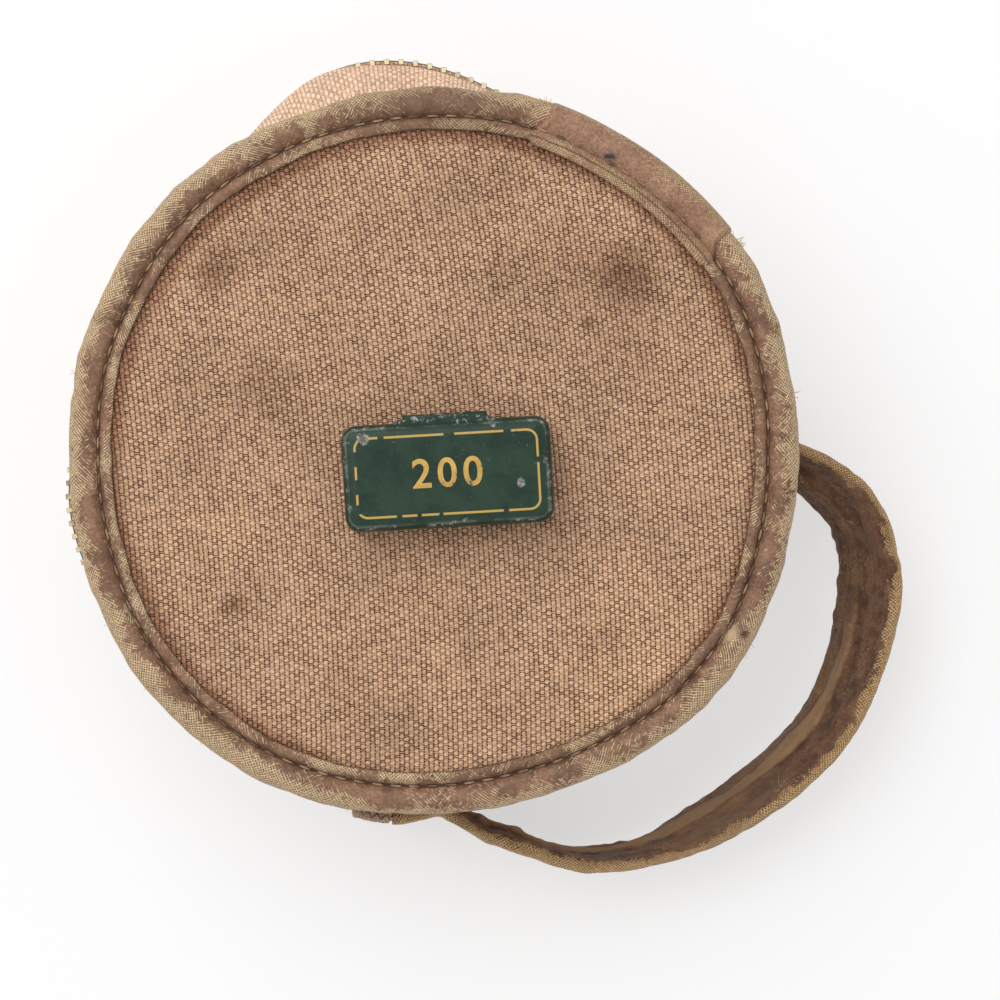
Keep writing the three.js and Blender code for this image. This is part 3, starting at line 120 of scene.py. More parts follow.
world = bpy.data.worlds.new("white_room")
bpy.context.scene.world = world
world.use_nodes = True
tree = world.node_tree
tree.nodes.clear()
seen = wire(tree, "ShaderNodeLightPath").outputs
mirrored = calc(tree, "MAXIMUM", seen["Is Glossy Ray"], seen["Is Transmission Ray"])
shown = calc(tree, "MAXIMUM", seen["Is Camera Ray"], mirrored)
strength = calc(tree, "MULTIPLY_ADD", shown, 1 - skyLight, skyLight)
sky = wire(tree, "ShaderNodeBackground", {"Color": (1, 1, 1, 1), "Strength": strength})
wire(tree, "ShaderNodeOutputWorld", {"Surface": sky.outputs[0]})

bpy.ops.object.light_add(type="AREA", location=(-0.45, 0.55, 1.1))
lamp = bpy.context.object
lamp.name = "soft_lamp"
lamp.data.size = lampSize
lamp.data.energy = lampPower
lamp.rotation_euler = (Vector((0, 0, 0.02)) - lamp.location).to_track_quat("-Z", "Y").to_euler()

bpy.ops.mesh.primitive_plane_add(size=6, location=(0, 0, -0.05 * mm))
floor = bpy.context.object
floor.name = "paper_floor"
paper, tree, shader, xyz = new_material("white_paper")
tone = mixed(tree, grains(tree, xyz, 40.0), written(250, 250, 251), written(253, 253, 253))
give(tree, shader, {"Base Color": tone, "Roughness": 0.9, "Specular IOR Level": 0.1})
seen = wire(tree, "ShaderNodeLightPath").outputs
shaded = wire(tree, "ShaderNodeEmission", {"Color": (1, 1, 1, 1), "Strength": paperWhite})
picture = wire(tree, "ShaderNodeMixShader", {
    0: calc(tree, "MULTIPLY", seen["Is Camera Ray"], paperShare),
    1: shader.outputs[0],
    2: shaded.outputs[0],
})
give(tree, tree.nodes["Material Output"], {"Surface": picture.outputs[0]})
floor.data.materials.append(paper)


# The bag's two round panels are stiffened canvas: a coarse plain weave of pinkish brown yarn in
# which the upright threads stand proud as pale beads. The base panel is the one the bag stands on.
def shader_group(name, outputs, **inputs):
    """A named group of nodes, with plain numbers out. An input given as None is a place."""
    tree = bpy.data.node_groups.new(name, "ShaderNodeTree")
    for label, value in inputs.items():
        kind = "NodeSocketVector" if value is None else "NodeSocketFloat"
        socket = tree.interface.new_socket(name=label, in_out="INPUT", socket_type=kind)
        if value is not None:
            socket.default_value = value
    for label in outputs:
        tree.interface.new_socket(name=label, in_out="OUTPUT", socket_type="NodeSocketFloat")
    return tree, tree.nodes.new("NodeGroupInput").outputs, tree.nodes.new("NodeGroupOutput")


def place(tree, group, **inputs):
    return wire(tree, "ShaderNodeGroup", inputs, node_tree=group).outputs


def ramp(tree, value, low, high, to_low=0.0, to_high=1.0):
    inputs = {0: value, 1: low, 2: high, 3: to_low, 4: to_high}
    return wire(tree, "ShaderNodeMapRange", inputs, interpolation_type="SMOOTHSTEP").outputs[0]


def vector_calc(tree, operation, first, second):
    return wire(tree, "ShaderNodeVectorMath", {0: first, 1: second}, operation=operation).outputs


def axes_of(tree, vector):
    return wire(tree, "ShaderNodeSeparateXYZ", {0: vector}).outputs


def vector_of(tree, *axes):
    return wire(tree, "ShaderNodeCombineXYZ", dict(enumerate(axes))).outputs[0]


def spun(tree, vector, angle):
    """The place turned about the upright axis."""
    inputs = {"Vector": vector, "Angle": angle}
    return wire(tree, "ShaderNodeVectorRotate", inputs, rotation_type="Z_AXIS").outputs[0]


def drifted(tree, vector, amount, scale, detail, rough=0.5):
    """The place moved a little by smooth noise, so that lines wander and outlines are ragged."""
    drift = vector_calc(tree, "SUBTRACT", grains(tree, vector, scale, detail, rough, 1), (0.5, 0.5, 0.5))
    inputs = {0: drift[0], "Scale": amount}
    drift = wire(tree, "ShaderNodeVectorMath", inputs, operation="SCALE").outputs
    return vector_calc(tree, "ADD", vector, drift[0])[0]


def finished(tree, shader, tint, rough, relief, levels=None):
    """relief: the fine heights, how deep they are in metres and how strongly they show."""
    bump = wire(tree, "ShaderNodeBump", dict(zip(("Height", "Distance", "Strength"), relief)))
    give(tree, shader, {"Base Color": tint, "Roughness": rough, "Normal": bump.outputs[0], **(levels or {})})


# Plain weave: each thread's crossing is a smooth hump, high where it passes over
weave, given, result = shader_group("plain weave", ["Height", "Upright", "Bead"],
                                    Vector=None, Column=0.0009, Row=0.0006, Wander=0.0001)
across = axes_of(weave, drifted(weave, given["Vector"], given["Wander"], 220.0, 4.0, 0.72))
columns = calc(weave, "DIVIDE", across[0], given["Column"])
rows = calc(weave, "DIVIDE", across[1], given["Row"])
swing = [calc(weave, "COSINE", calc(weave, "MULTIPLY", value, math.pi)) for value in (columns, rows)]
over = calc(weave, "MULTIPLY", calc(weave, "SIGN", swing[0]), swing[1])
columns = calc(weave, "MULTIPLY_ADD", over, 0.05, columns)


def round_top(threads, fall):
    """The height across each thread: 1 along its middle, and nothing past its edges."""
    side = calc(weave, "PINGPONG", threads, 0.5)
    rise = calc(weave, "MULTIPLY_ADD", calc(weave, "MULTIPLY", side, side), -fall, 1.0)
    return calc(weave, "SQRT", calc(weave, "MAXIMUM", rise, 0.0))


upright = calc(weave, "MULTIPLY", round_top(columns, 4.6), ramp(weave, over, -0.78, 0.12, 0.42, 1.0))
level = calc(weave, "MULTIPLY", round_top(rows, 11.5), ramp(weave, over, -0.9, 0.1, 0.88, 0.60))
cell = vector_of(weave, calc(weave, "ROUND", columns), calc(weave, "ROUND", rows))
give(weave, result, {
    "Height": calc(weave, "MAXIMUM", upright, level),
    "Upright": calc(weave, "GREATER_THAN", upright, level),
    "Bead": wire(weave, "ShaderNodeTexWhiteNoise", {0: cell}, noise_dimensions="2D").outputs[0],
})

# A soft-edged round spot with an uneven outline, for stains, faded patches, worn paint and the painted shadow
# round the tin
stain, given, result = shader_group("round stain", ["Mask"],
                                    Vector=None, Centre=None, Radius=0.005, Strength=1.0)
ragged = drifted(stain, given["Vector"], calc(stain, "MULTIPLY", given["Radius"], 1.1), 240.0, 4.0, 0.6)
away = vector_calc(stain, "DISTANCE", ragged, given["Centre"])["Value"]
mask = ramp(stain, calc(stain, "DIVIDE", away, given["Radius"]), 0.1, 1.3, 1.0, 0.0)
give(stain, result, {"Mask": calc(stain, "MULTIPLY", mask, given["Strength"])})


def round_spot_at(tree, xyz, centre, radius, amount=1.0):
    inputs = {"Vector": xyz, "Centre": [v * mm for v in centre], "Radius": radius * mm, "Strength": amount}
    return place(tree, stain, **inputs)["Mask"]


def dimmed(tree, tint, shade):
    grey = wire(tree, "ShaderNodeCombineColor", {0: shade, 1: shade, 2: shade}).outputs[0]
    return mixed(tree, 1.0, tint, grey, "MULTIPLY")


# canvasGap is the painted shade in the gaps between the threads.
canvasGap = written(84, 46, 28)
canvasWeft = written(187, 145, 111)
canvasBead = written(206, 168, 137)
canvasFibreHighlight = written(244, 222, 200)
# A darkening for dirt and for painted shade along the lid's binding.
soilAndShadeTint = written(206, 188, 182)
# The stain colour also paints the shadow round the tin on the lid.
stainAndShadowTint = (0.44, 0.36, 0.32, 1)
fadeTint = (1.22, 1.22, 1.16, 1)
canvasColumn = 0.92 * mm
canvasRow = 0.61 * mm
threadWander = 0.36 * mm
weaveTurn = 6
weaveCurve = 1.6


def canvas(name, space, column=canvasColumn, light=1.0, stains=(), faded=(), soiled=None,
           yarns=(canvasGap, canvasWeft, canvasBead)):
    """stains and faded: rows of a centre, a radius and how strongly they show. On the lid, one row among the
    stains is a painted shadow round the tin.
    """
    material, tree, shader, xyz = new_material(name)
    threads = place(tree, weave, Vector=space(tree), Column=column, Row=canvasRow, Wander=threadWander)
    gap, weft, bead = yarns
    # Where the weave lies low, between the threads, the colour runs to the gap colour: painted shade in the
    # gaps.
    shown = calc(tree, "SUBTRACT", threads["Height"], 0.18)
    shown = calc(tree, "MULTIPLY_ADD", threads["Bead"], 0.36, shown)
    covered = ramp(tree, shown, 0.24, 0.82)
    tint = mixed(tree, covered, gap, mixed(tree, threads["Upright"], weft, bead))
    # Fine noise paints highlights on the fibres, only on the raised threads, and painted shade where it runs
    # low.
    fibres = grains(tree, xyz, 2600.0, 2.0, 0.7)
    lit = calc(tree, "MULTIPLY", covered, ramp(tree, fibres, 0.52, 0.68, 0.0, 0.3))
    tint = mixed(tree, lit, tint, canvasFibreHighlight)
    tint = mixed(tree, ramp(tree, fibres, 0.32, 0.46, 0.25, 0.0), tint, gap)
    patches = ramp(tree, grains(tree, xyz, 55.0, 4.0, 0.6), 0.3, 0.7, 0.90 * light, 1.08 * light)
    shade = calc(tree, "MULTIPLY", patches, ramp(tree, threads["Bead"], 0.0, 1.0, 0.92, 1.08))
    tint = dimmed(tree, tint, shade)
    for spots, colour in ((faded, fadeTint), (stains, stainAndShadowTint)):
        for spot in spots:
            tint = mixed(tree, round_spot_at(tree, xyz, *spot), tint, colour, "MULTIPLY")
    # soiled darkens the canvas towards the soil colour; on the lid this is dirt together with painted shade
    # along the binding.
    if soiled:
        tint = mixed(tree, soiled(tree, xyz), tint, soilAndShadeTint, "MULTIPLY")
    rise = calc(tree, "MULTIPLY_ADD", fibres, 0.2, threads["Height"])
    finished(tree, shader, tint, ramp(tree, threads["Height"], 0.0, 1.0, 0.98, 0.84), (rise, 0.28 * mm, 0.9),
             {"Specular IOR Level": 0.1, "Sheen Weight": 0.03, "Sheen Roughness": 0.5})
    return material


def panel_space(tree):
    """The panel's threads run nearly straight up it and lean more towards the top."""
    axes = axes_of(tree, spun(tree, object_space(tree), math.radians(-weaveTurn)))
    squared = calc(tree, "MULTIPLY", axes[1], axes[1])
    bent = calc(tree, "MULTIPLY_ADD", squared, weaveCurve / 2, axes[0])
    return vector_of(tree, bent, axes[1])


def deselect():
    bpy.ops.object.select_all(action="DESELECT")


def choose(piece):
    """Makes the piece the only selected one."""
    deselect()
    piece.select_set(True)
    bpy.context.view_layer.objects.active = piece


def flat_grid(name, count, rounds):
    """A flat grid, with each point's share of the way along it and its step round it."""
    deselect()
    bpy.ops.mesh.primitive_grid_add(x_subdivisions=count, y_subdivisions=rounds, size=2)
    piece = bpy.context.object
    piece.name = piece.data.name = name
    points = np.empty(len(piece.data.vertices) * 3)
    piece.data.vertices.foreach_get("co", points)
    points = (points.reshape(-1, 3) + 1) / 2
    return piece, points[:, 0], np.rint(points[:, 1] * rounds).astype(int)


wallRadius = 65.0


def swept(name, profile, count, start=0.0, end=360.0, shift=None, reference=wallRadius):
    """A closed outline of radius and height in millimetres, swept round the bag's axis."""
    loop = np.array(list(profile) + [profile[0]])
    piece, share, step = flat_grid(name, count, len(profile))
    girth = np.concatenate([[0], np.cumsum(np.hypot(*np.diff(loop, axis=0).T))])[step]
    radius, height = loop[step, 0], loop[step, 1]
    turn = np.radians(start + (end - start) * share)
    if shift:
        radius, height, turn = shift(radius, height, turn, step)
    places = np.stack([radius * np.cos(turn), radius * np.sin(turn), height], 1) * mm
    piece.data.vertices.foreach_set("co", places.ravel())
    along = share * math.radians(end - start) * reference
    set_cloth(piece, along * mm, girth * mm)
    close(piece, abs(end - start) < 360)
    return piece


def set_cloth(piece, along, girth):
    """The piece's own map in metres: along its length and round its girth."""
    layer = piece.data.uv_layers[0]
    layer.name = "cloth"
    corners = np.empty(len(piece.data.loops), dtype=int)
    piece.data.loops.foreach_get("vertex_index", corners)
    layer.data.foreach_set("uv", np.stack([along[corners], girth[corners]], 1).ravel())


mergeDistance = 0.002 * mm


def close(piece, open_ends=False):
    choose(piece)
    bpy.ops.object.mode_set(mode="EDIT")
    bpy.ops.mesh.select_all(action="SELECT")
    bpy.ops.mesh.remove_doubles(threshold=mergeDistance)
    if open_ends:
        bpy.ops.mesh.fill_holes(sides=0)
    bpy.ops.mesh.select_all(action="SELECT")
    bpy.ops.mesh.normals_make_consistent(inside=False)
    bpy.ops.object.mode_set(mode="OBJECT")
    bpy.ops.object.shade_smooth()


def dress(piece, body, slot, material, *nodes):
    piece.data.materials.clear()
    piece.data.materials.append(material)
    if body:
        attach(piece, body)
    if nodes:
        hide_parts(*nodes)


basePanel = canvas("base_canvas", panel_space, stains=[((10, -20, 0), 22, 0.35)])
rings = 22
basePanelProfile = [(57.1 * i / rings, 0.0) for i in range(rings + 1)]
basePanelProfile += [(57.1, 1.6), (61, 1.6), (61, 2.5), (40, 2.5), (20, 2.5), (0, 2.5)]
piece = swept("base_panel_cloth", basePanelProfile, 144)
dress(piece, "bag_base", "canvas", basePanel, "base_panel")


# The rims are bound in a bias strip of thin glazed cloth, rolled over a cord and turned down onto
# the panel. Its glaze is worn off along the outside and in patches, where the weave shows slantwise.
hatchPitch = 0.47 * mm
glazeBrown = written(142, 106, 82)
glazeDark = written(110, 79, 60)
threadTan = written(222, 194, 154)
threadGap = written(90, 64, 46)

# Bared threads of a bias cloth: short light dashes that cross each other both ways
dashLength = 1.2 * mm
hatch, given, result = shader_group("bared threads", ["Mask"], Vector=None, Share=0.5)
moved = drifted(hatch, given["Vector"], 0.9 * mm, 260.0, 2.0)
need = calc(hatch, "MULTIPLY_ADD", given["Share"], -0.50, 0.70)
dashes = []
for side in (1, -1):
    turned = wire(hatch, "ShaderNodeMapping", {"Vector": moved, "Rotation": (0, 0, math.radians(45 * side))})
    axes = axes_of(hatch, turned.outputs[0])
    threads = calc(hatch, "DIVIDE", axes[1], hatchPitch)
    ridge = ramp(hatch, calc(hatch, "PINGPONG", threads, 0.5), 0.08, 0.38, 1.0, 0.0)
    along = calc(hatch, "DIVIDE", axes[0], dashLength)
    cell = vector_of(hatch, along, calc(hatch, "MULTIPLY", calc(hatch, "ROUND", threads), 0.71), side * 5.0)
    bared = grains(hatch, cell, 1.0, 2.0)
    area = grains(hatch, vector_calc(hatch, "ADD", given["Vector"], (side, 7.0, 0))[0], 150.0, 2.0)
    area = calc(hatch, "SUBTRACT", area, 0.50)
    shown = ramp(hatch, calc(hatch, "ADD", calc(hatch, "SUBTRACT", bared, need), area), -0.08, 0.14)
    dashes.append(calc(hatch, "MULTIPLY", ridge, shown))
give(hatch, result, {"Mask": calc(hatch, "MAXIMUM", *dashes)})


def cloth_space(tree):
    return wire(tree, "ShaderNodeUVMap", uv_map="cloth").outputs["UV"]


def distance_from_axis(tree, xyz):
    axes = axes_of(tree, xyz)
    squares = [calc(tree, "MULTIPLY", axes[i], axes[i]) for i in range(2)]
    return calc(tree, "SQRT", calc(tree, "ADD", *squares))


def apart(tree, value, other):
    return calc(tree, "ABSOLUTE", calc(tree, "SUBTRACT", value, other))


def rim_wear(tree, xyz, cloth):
    """The weave comes to the surface on the outside of the roll and here and there on the strip."""
    radius = distance_from_axis(tree, xyz)
    outside = ramp(tree, radius, 64.5 * mm, 69.6 * mm, 0.0, 0.34)
    inside = ramp(tree, radius, 61.4 * mm, 63.4 * mm, 0.03, -0.07)
    return calc(tree, "ADD", outside, inside)


def dark_lines(*places):
    """Dark lines along the cloth, each at a girth, with its half width and how dark it is. They are dirt
    together with painted shade.
    """
    def dirt(tree, xyz, cloth):
        uneven = calc(tree, "MULTIPLY_ADD", grains(tree, xyz, 500.0), 0.5 * mm, axes_of(tree, cloth)[1])
        dark = 0.0
        for at, half, amount in places:
            off = apart(tree, uneven, (at + 0.25) * mm)
            dark = calc(tree, "MAXIMUM", dark, ramp(tree, off, 0.3 * half * mm, half * mm, amount, 0.0))
        return dark

    return dirt


# A dark brown for dirt, and for painted shade in the cloth's grooves and folds.
dirtAndShadeDark = written(64, 43, 32)


def bound_cloth(name, worn_at, dirt_and_shade_at=None, glaze=(glazeBrown, glazeDark), thread=threadTan, wear=0.0,
                shine=0.45, torn=(), rubbed=None):
    """worn_at, dirt_and_shade_at and rubbed[0] give shares from the place on the object and on the cloth."""
    material, tree, shader, xyz = new_material(name)
    cloth = cloth_space(tree)
    patches = grains(tree, xyz, 140.0, 5.0, 0.7)
    share = calc(tree, "ADD", calc(tree, "ADD", patches, worn_at(tree, xyz, cloth)), wear)
    bare = ramp(tree, share, 0.36, 0.80)
    clouds = ramp(tree, grains(tree, xyz, 230.0, 5.0, 0.7), 0.35, 0.62)
    dashes = place(tree, hatch, Vector=cloth, Share=bare)["Mask"]
    tint = mixed(tree, clouds, glaze[1], glaze[0])
    tint = mixed(tree, calc(tree, "MULTIPLY", bare, 0.55), tint, threadGap)
    tint = mixed(tree, calc(tree, "MULTIPLY", dashes, 0.86), tint, thread)
    tint = dimmed(tree, tint, ramp(tree, grains(tree, xyz, 1900.0, 2.0, 0.7), 0.36, 0.64, 0.80, 1.20))
    if rubbed:
        tint = mixed(tree, rubbed[0](tree, xyz, cloth), tint, rubbed[1])
    # Darkens the cloth where it is dirty and where shade is painted into its grooves and folds.
    if dirt_and_shade_at:
        tint = mixed(tree, dirt_and_shade_at(tree, xyz, cloth), tint, dirtAndShadeDark)
    for *spot, colour in torn:
        tint = mixed(tree, round_spot_at(tree, xyz, *spot), tint, colour)
    rise = calc(tree, "MULTIPLY_ADD", dashes, 0.8, grains(tree, xyz, 620.0, 4.0, 0.65))
    finished(tree, shader, tint, ramp(tree, bare, 0.0, 1.0, shine, 0.88), (rise, 0.22 * mm, 0.85),
             {"Specular IOR Level": 0.3, "Sheen Weight": 0.06})
    return material


# Radius and height above the roll's centre, from the strip's inner edge under the strip, round
# the outside of the roll and back over its top, with how far each place may swell
rimOutline = [
    (60.25, 2.05, 0), (61.2, 1.9, 0), (61.35, 0.7, 0), (61.53, -0.89, 0),
    (62.41, -1.84, 0), (63.8, -2.44, 0), (65.1, -2.6, 0), (66.6, -2.36, 0.2), (67.7, -1.67, 0.6),
    (68.2, -0.89, 0.9), (68.35, 0.0, 1), (68.22, 0.85, 1), (67.8, 1.65, 1), (67.05, 2.35, 1),
    (66.2, 2.8, 1), (65.35, 2.95, 1), (64.6, 2.9, 1), (63.95, 2.65, 0.8), (63.4, 2.25, 0.6),
    (63.0, 1.8, 0.3), (62.7, 1.6, 0.2), (62.4, 1.95, 0.2), (62.1, 2.55, 0.4), (61.65, 2.9, 0.5),
    (61.15, 2.95, 0.5), (60.65, 2.85, 0.4), (60.25, 2.65, 0.3), (60.1, 2.35, 0.2),
]
rimSteps = 456
stitchCount = 114
rollCentre = 65.1
baseRollHeight = 3.3


def girth_of(outline, step):
    """How far round the outline a step lies, so that a mark can follow the cloth."""
    points = [row[:2] for row in outline]
    return sum(math.dist(a, b) for a, b in zip(points[:step], points[1:step + 1]))


# Dark lines in the valley between the strip and the roll and where the strip's edge meets the canvas: dirt
# together with painted shade.
rimDirtAndShade = dark_lines((girth_of(rimOutline, 20), 0.6, 0.85), (girth_of(rimOutline, 27), 0.5, 0.8))


def ripple(radius, height, turn, scale, seed):
    """Smooth random values that close round the bag."""
    spots = zip(radius * np.cos(turn), radius * np.sin(turn), height)
    return np.array([noise.noise(Vector(spot) / scale + Vector((seed, seed, 0))) for spot in spots])


def rim_shift(centre, up, seed):
    swell = np.array([w for _, _, w in rimOutline] + [rimOutline[0][2]])

    def shift(radius, height, turn, step):
        soft = swell[step]
        low, high = radius - rollCentre, (height - centre) * up
        size = np.maximum(np.hypot(low, high), 0.1)
        lumps = 0.55 * ripple(radius, height, turn, 9.0, seed)
        lumps = lumps + 0.22 * ripple(radius, height, turn, 2.6, seed)
        on_strip = radius < 62.5
        out = np.where(on_strip, 0, low / size) * soft * lumps
        rise = np.where(on_strip, 0.7, high / size) * soft * lumps
        pucker = 0.5 + 0.5 * np.cos(turn * stitchCount)
        near_stitch = np.exp(-((radius - 62.8) / 0.8) ** 2) * (high > 1.0)
        rise = rise - 0.42 * pucker * near_stitch
        radius = radius + out + 0.16 * pucker * near_stitch * soft
        wander = 0.30 * ripple(np.full_like(radius, 60.2), height * 0, turn, 5.0, seed + 3)
        edge = np.exp(-((radius - 60.2) / 0.7) ** 2) * (high > 2.0)
        return radius + wander * edge, np.maximum(height + rise * up, 0.05), turn

    return shift


def rim_piece(name, centre, up, shift):
    profile = [(r, centre + up * z) for r, z, _ in rimOutline]
    return swept(name, profile, rimSteps, shift=shift, reference=rollCentre)


tornCloth = [
    ((55.9, -34.0, 53), 1.9, 0.9, written(206, 178, 142)), ((58.3, -34.4, 53), 1.3, 1.0, written(84, 44, 34)),
    ((0, 66, 52), 20.0, 0.4, written(96, 68, 52)),
]
rimCloth = bound_cloth("rim_cloth", rim_wear, rimDirtAndShade, torn=tornCloth)
piece = rim_piece("base_rim", baseRollHeight, -1, rim_shift(baseRollHeight, -1, 11.0))
dress(piece, "bag_base", "bound_cloth", rimCloth, "base_binding")


# A running stitch in tan thread holds each rim. Every second stitch lies on the outside, in the
# small valley between the strip and the roll, and dips into the cloth at both of its ends.
def copied(name, model, places):
    """Copies of a small model, each with its own mesh, joined into one piece."""
    deselect()
    for spot in places:
        twin = model.copy()
        twin.data = model.data.copy()
        twin.data.transform(spot)
        bpy.context.collection.objects.link(twin)
        twin.select_set(True)
        bpy.context.view_layer.objects.active = twin
    bpy.ops.object.join()
    piece = bpy.context.object
    piece.name = piece.data.name = name
    return piece


def remove(model):
    bpy.data.objects.remove(model, do_unlink=True)


def apply_modifier(piece, kind, **settings):
    choose(piece)
    modifier = piece.modifiers.new(kind.lower(), kind)
    for name, value in settings.items():
        setattr(modifier, name, value)
    bpy.ops.object.modifier_apply(modifier=modifier.name)


def settle(piece):
    """Puts the object at the origin, with its place in its mesh."""
    choose(piece)
    bpy.ops.object.transform_apply(location=True, rotation=True, scale=True)


def cut_across(places):
    """Cuts the active piece across its length, so that it can bend there."""
    bpy.ops.object.mode_set(mode="EDIT")
    for x in places:
        bpy.ops.mesh.select_all(action="SELECT")
        bpy.ops.mesh.bisect(plane_co=(x * mm, 0, 0), plane_no=(1, 0, 0))
    bpy.ops.object.mode_set(mode="OBJECT")


def rod(length, width, sides, cuts):
    deselect()
    bpy.ops.mesh.primitive_cylinder_add(vertices=sides, radius=width / 2 * mm, depth=length * mm,
                                        rotation=(0, math.pi / 2, 0))
    model = bpy.context.object
    settle(model)
    cut_across([share * length for share in cuts])
    return model


def stitch_model(length, width):
    """A short thread, thick in the middle and dipping into the cloth at both ends."""
    model = rod(length, width, 6, (0.28, -0.28))
    for vertex in model.data.vertices:
        if abs(vertex.co.x) > 0.4 * length * mm:
            vertex.co.y *= 0.55
            vertex.co.z = vertex.co.z * 0.55 - 0.8 * width * mm
    bpy.ops.object.shade_smooth()
    return model


lines, given, result = shader_group("fine crossing lines", ["Mask"],
                                    Vector=None, Length=0.004, Width=0.0003, Amount=0.5, Turn=0.785)
streaks = []
for side in (1, -1):
    axes = axes_of(lines, spun(lines, given["Vector"], calc(lines, "MULTIPLY", given["Turn"], side)))
    long = calc(lines, "DIVIDE", axes[0], given["Length"])
    wide = calc(lines, "DIVIDE", axes[1], given["Width"])
    streaks.append(grains(lines, vector_of(lines, long, wide, side * 7.3), 1.0, 1.0, 0.4))
least = calc(lines, "MULTIPLY_ADD", given["Amount"], -0.28, 0.80)
most = calc(lines, "ADD", least, 0.07)
give(lines, result, {"Mask": ramp(lines, calc(lines, "MAXIMUM", *streaks), least, most)})


def thread_material(name, tint, dirt):
    material, tree, shader, xyz = new_material(name)
    twist = place(tree, lines, Vector=xyz, Length=0.9 * mm, Width=0.14 * mm, Amount=0.9)["Mask"]
    soiled = ramp(tree, grains(tree, xyz, 260.0, 4.0), 0.35, 0.65)
    finished(tree, shader, mixed(tree, soiled, tint, dirt), ramp(tree, soiled, 0.0, 1.0, 0.7, 0.95),
             (twist, 0.06 * mm, 0.8))
    return material


tanThread = thread_material("tan_thread", written(172, 141, 110), written(112, 86, 66))


def on_ring(radius, turn, height, spin):
    """A place round the bag, turned about the upright axis by its own angle and the spin."""
    spot = Matrix.Translation((radius * math.cos(turn) * mm, radius * math.sin(turn) * mm, height * mm))
    return spot @ Matrix.Rotation(turn + spin, 4, "Z")


def ring_stitches(name, radius_at, height, length, width, skip=lambda degrees: False, tip=0.0):
    model = stitch_model(length, width)
    places = []
    for i in range(stitchCount):
        degrees = (i + 0.5) * 360 / stitchCount
        if skip(degrees):
            continue
        turn = math.radians(degrees)
        places.append(on_ring(radius_at(turn), turn, height, math.pi / 2) @ Matrix.Rotation(tip, 4, "X"))
    piece = copied(name, model, places)
    remove(model)
    return piece


stitchRadius = 62.75
piece = ring_stitches("base_rim_stitches", lambda turn: stitchRadius, baseRollHeight - 1.75, 2.2, 0.44,
                      tip=math.pi)
dress(piece, "bag_base", "bound_cloth", tanThread)


# Years of use have pulled the lid a little out of round. These are the distances, every 15 degrees
# from the right, by which its rim stands outside a true circle.
outOfRound = [0.1, 0.8, 1.5, 1.0, 0.65, 0.9, 0.3, 0.2, 0.5, 1.3, 0.75, 0.85, 0.1, 0.35,
              1.4, 1.65, 1.6, 0.8, -0.1, -0.6, 0.1, 1.5, 1.75, 0.6]


def out_of_round(turn):
    return np.interp(np.degrees(turn) % 360, np.arange(25) * 15, outOfRound + outOfRound[:1])


def smooth(value, low, high):
    share = np.clip((value - low) / (high - low), 0, 1)
    return share * share * (3 - 2 * share)


def pulled(shift):
    """The same shift, followed by the lid's pull out of round, which fades towards its middle."""
    def pull(radius, height, turn, step):
        radius, height, turn = shift(radius, height, turn, step)
        return radius + out_of_round(turn) * smooth(radius, 30, 58), height, turn

    return pull


# The lid's canvas panel is slightly crowned. Its stains and a faded patch on the lower right are where years
# of handling left them.
# The darker ring next to the binding is dirt together with painted shade, and one wide faint patch round the
# tin is a painted shadow.
lidTop = 53
lidStainsAndTinShadow = [
    (36.6, 33.2, 7.5, 0.85), (-40.9, 34.1, 5.5, 0.7), (-31.5, 12.6, 8.0, 0.36), (-37.1, -28.7, 3.5, 0.55),
    (28.9, 24.4, 1.5, 0.8), (13.5, 33.2, 5.0, 0.25), (26, 35, 10.0, 0.30), (37, 22, 9.0, 0.26),
    # (3, -6, 19.0, 0.2) is no stain: it is a painted shadow round the tin, which stands over it.
    (12, 50, 9.0, 0.16), (-36, 38, 9.0, 0.16), (33, -36, 5.0, 0.25), (3, -6, 19.0, 0.2),
    (-8, -52, 9.0, 0.15), (-37.5, -28.7, 0.8, 0.9),
]
lidFaded = [(38.8, -42.8, 24.0, 0.7), (-44, -20, 14.0, 0.5), (-10, -36, 20.0, 0.35)]
lidRings = 30
lidFlat = 60.3


def edge_dirt_and_shade(tree, xyz):
    """Dirt gathered on the canvas along the binding, together with painted shade where the binding stands
    above it; the band is wider towards the upper left and in some places than in others.
    """
    axes = axes_of(tree, xyz)
    upper_left = calc(tree, "MULTIPLY_ADD", axes[1], 0.018, calc(tree, "MULTIPLY", axes[0], -0.010))
    radius = calc(tree, "ADD", upper_left, distance_from_axis(tree, xyz))
    radius = calc(tree, "MULTIPLY_ADD", grains(tree, xyz, 90.0, 4.0, 0.6), 3.4 * mm, radius)
    return ramp(tree, radius, 59.6 * mm, 62.6 * mm)


def on_lid(rows):
    return [((x, y, lidTop), radius, amount) for x, y, radius, amount in rows]


lidCanvas = canvas("lid_canvas", panel_space, stains=on_lid(lidStainsAndTinShadow), faded=on_lid(lidFaded),
                   soiled=edge_dirt_and_shade)


def lid_shift(radius, height, turn, step):
    top = height > 52
    near_rim = smooth(radius, 44, 58)
    puckers = 0.30 * ripple(radius * 0.9, height * 0, turn, 6.5, 5.0) * near_rim
    sag = 0.30 * ripple(radius, height * 0, turn, 24.0, 8.0)
    centre_calm = smooth(radius, 16, 34)
    inside = radius < lidFlat - 0.2
    return radius, height + np.where(top & inside, puckers + sag * centre_calm, 0), turn


lidProfile = [(0, 50.1), (30, 50.1), (61, 50.1), (61, 52.2), (lidFlat, 52.3)]
for i in range(1, lidRings + 1):
    inwards = 1 - i / lidRings
    lidProfile.append((lidFlat * inwards, 52.3 + 0.8 * (1 - inwards ** 2)))
piece = swept("lid_cloth", lidProfile, 180, shift=pulled(lid_shift))
dress(piece, "bag_lid", "canvas", lidCanvas, "lid_panel")


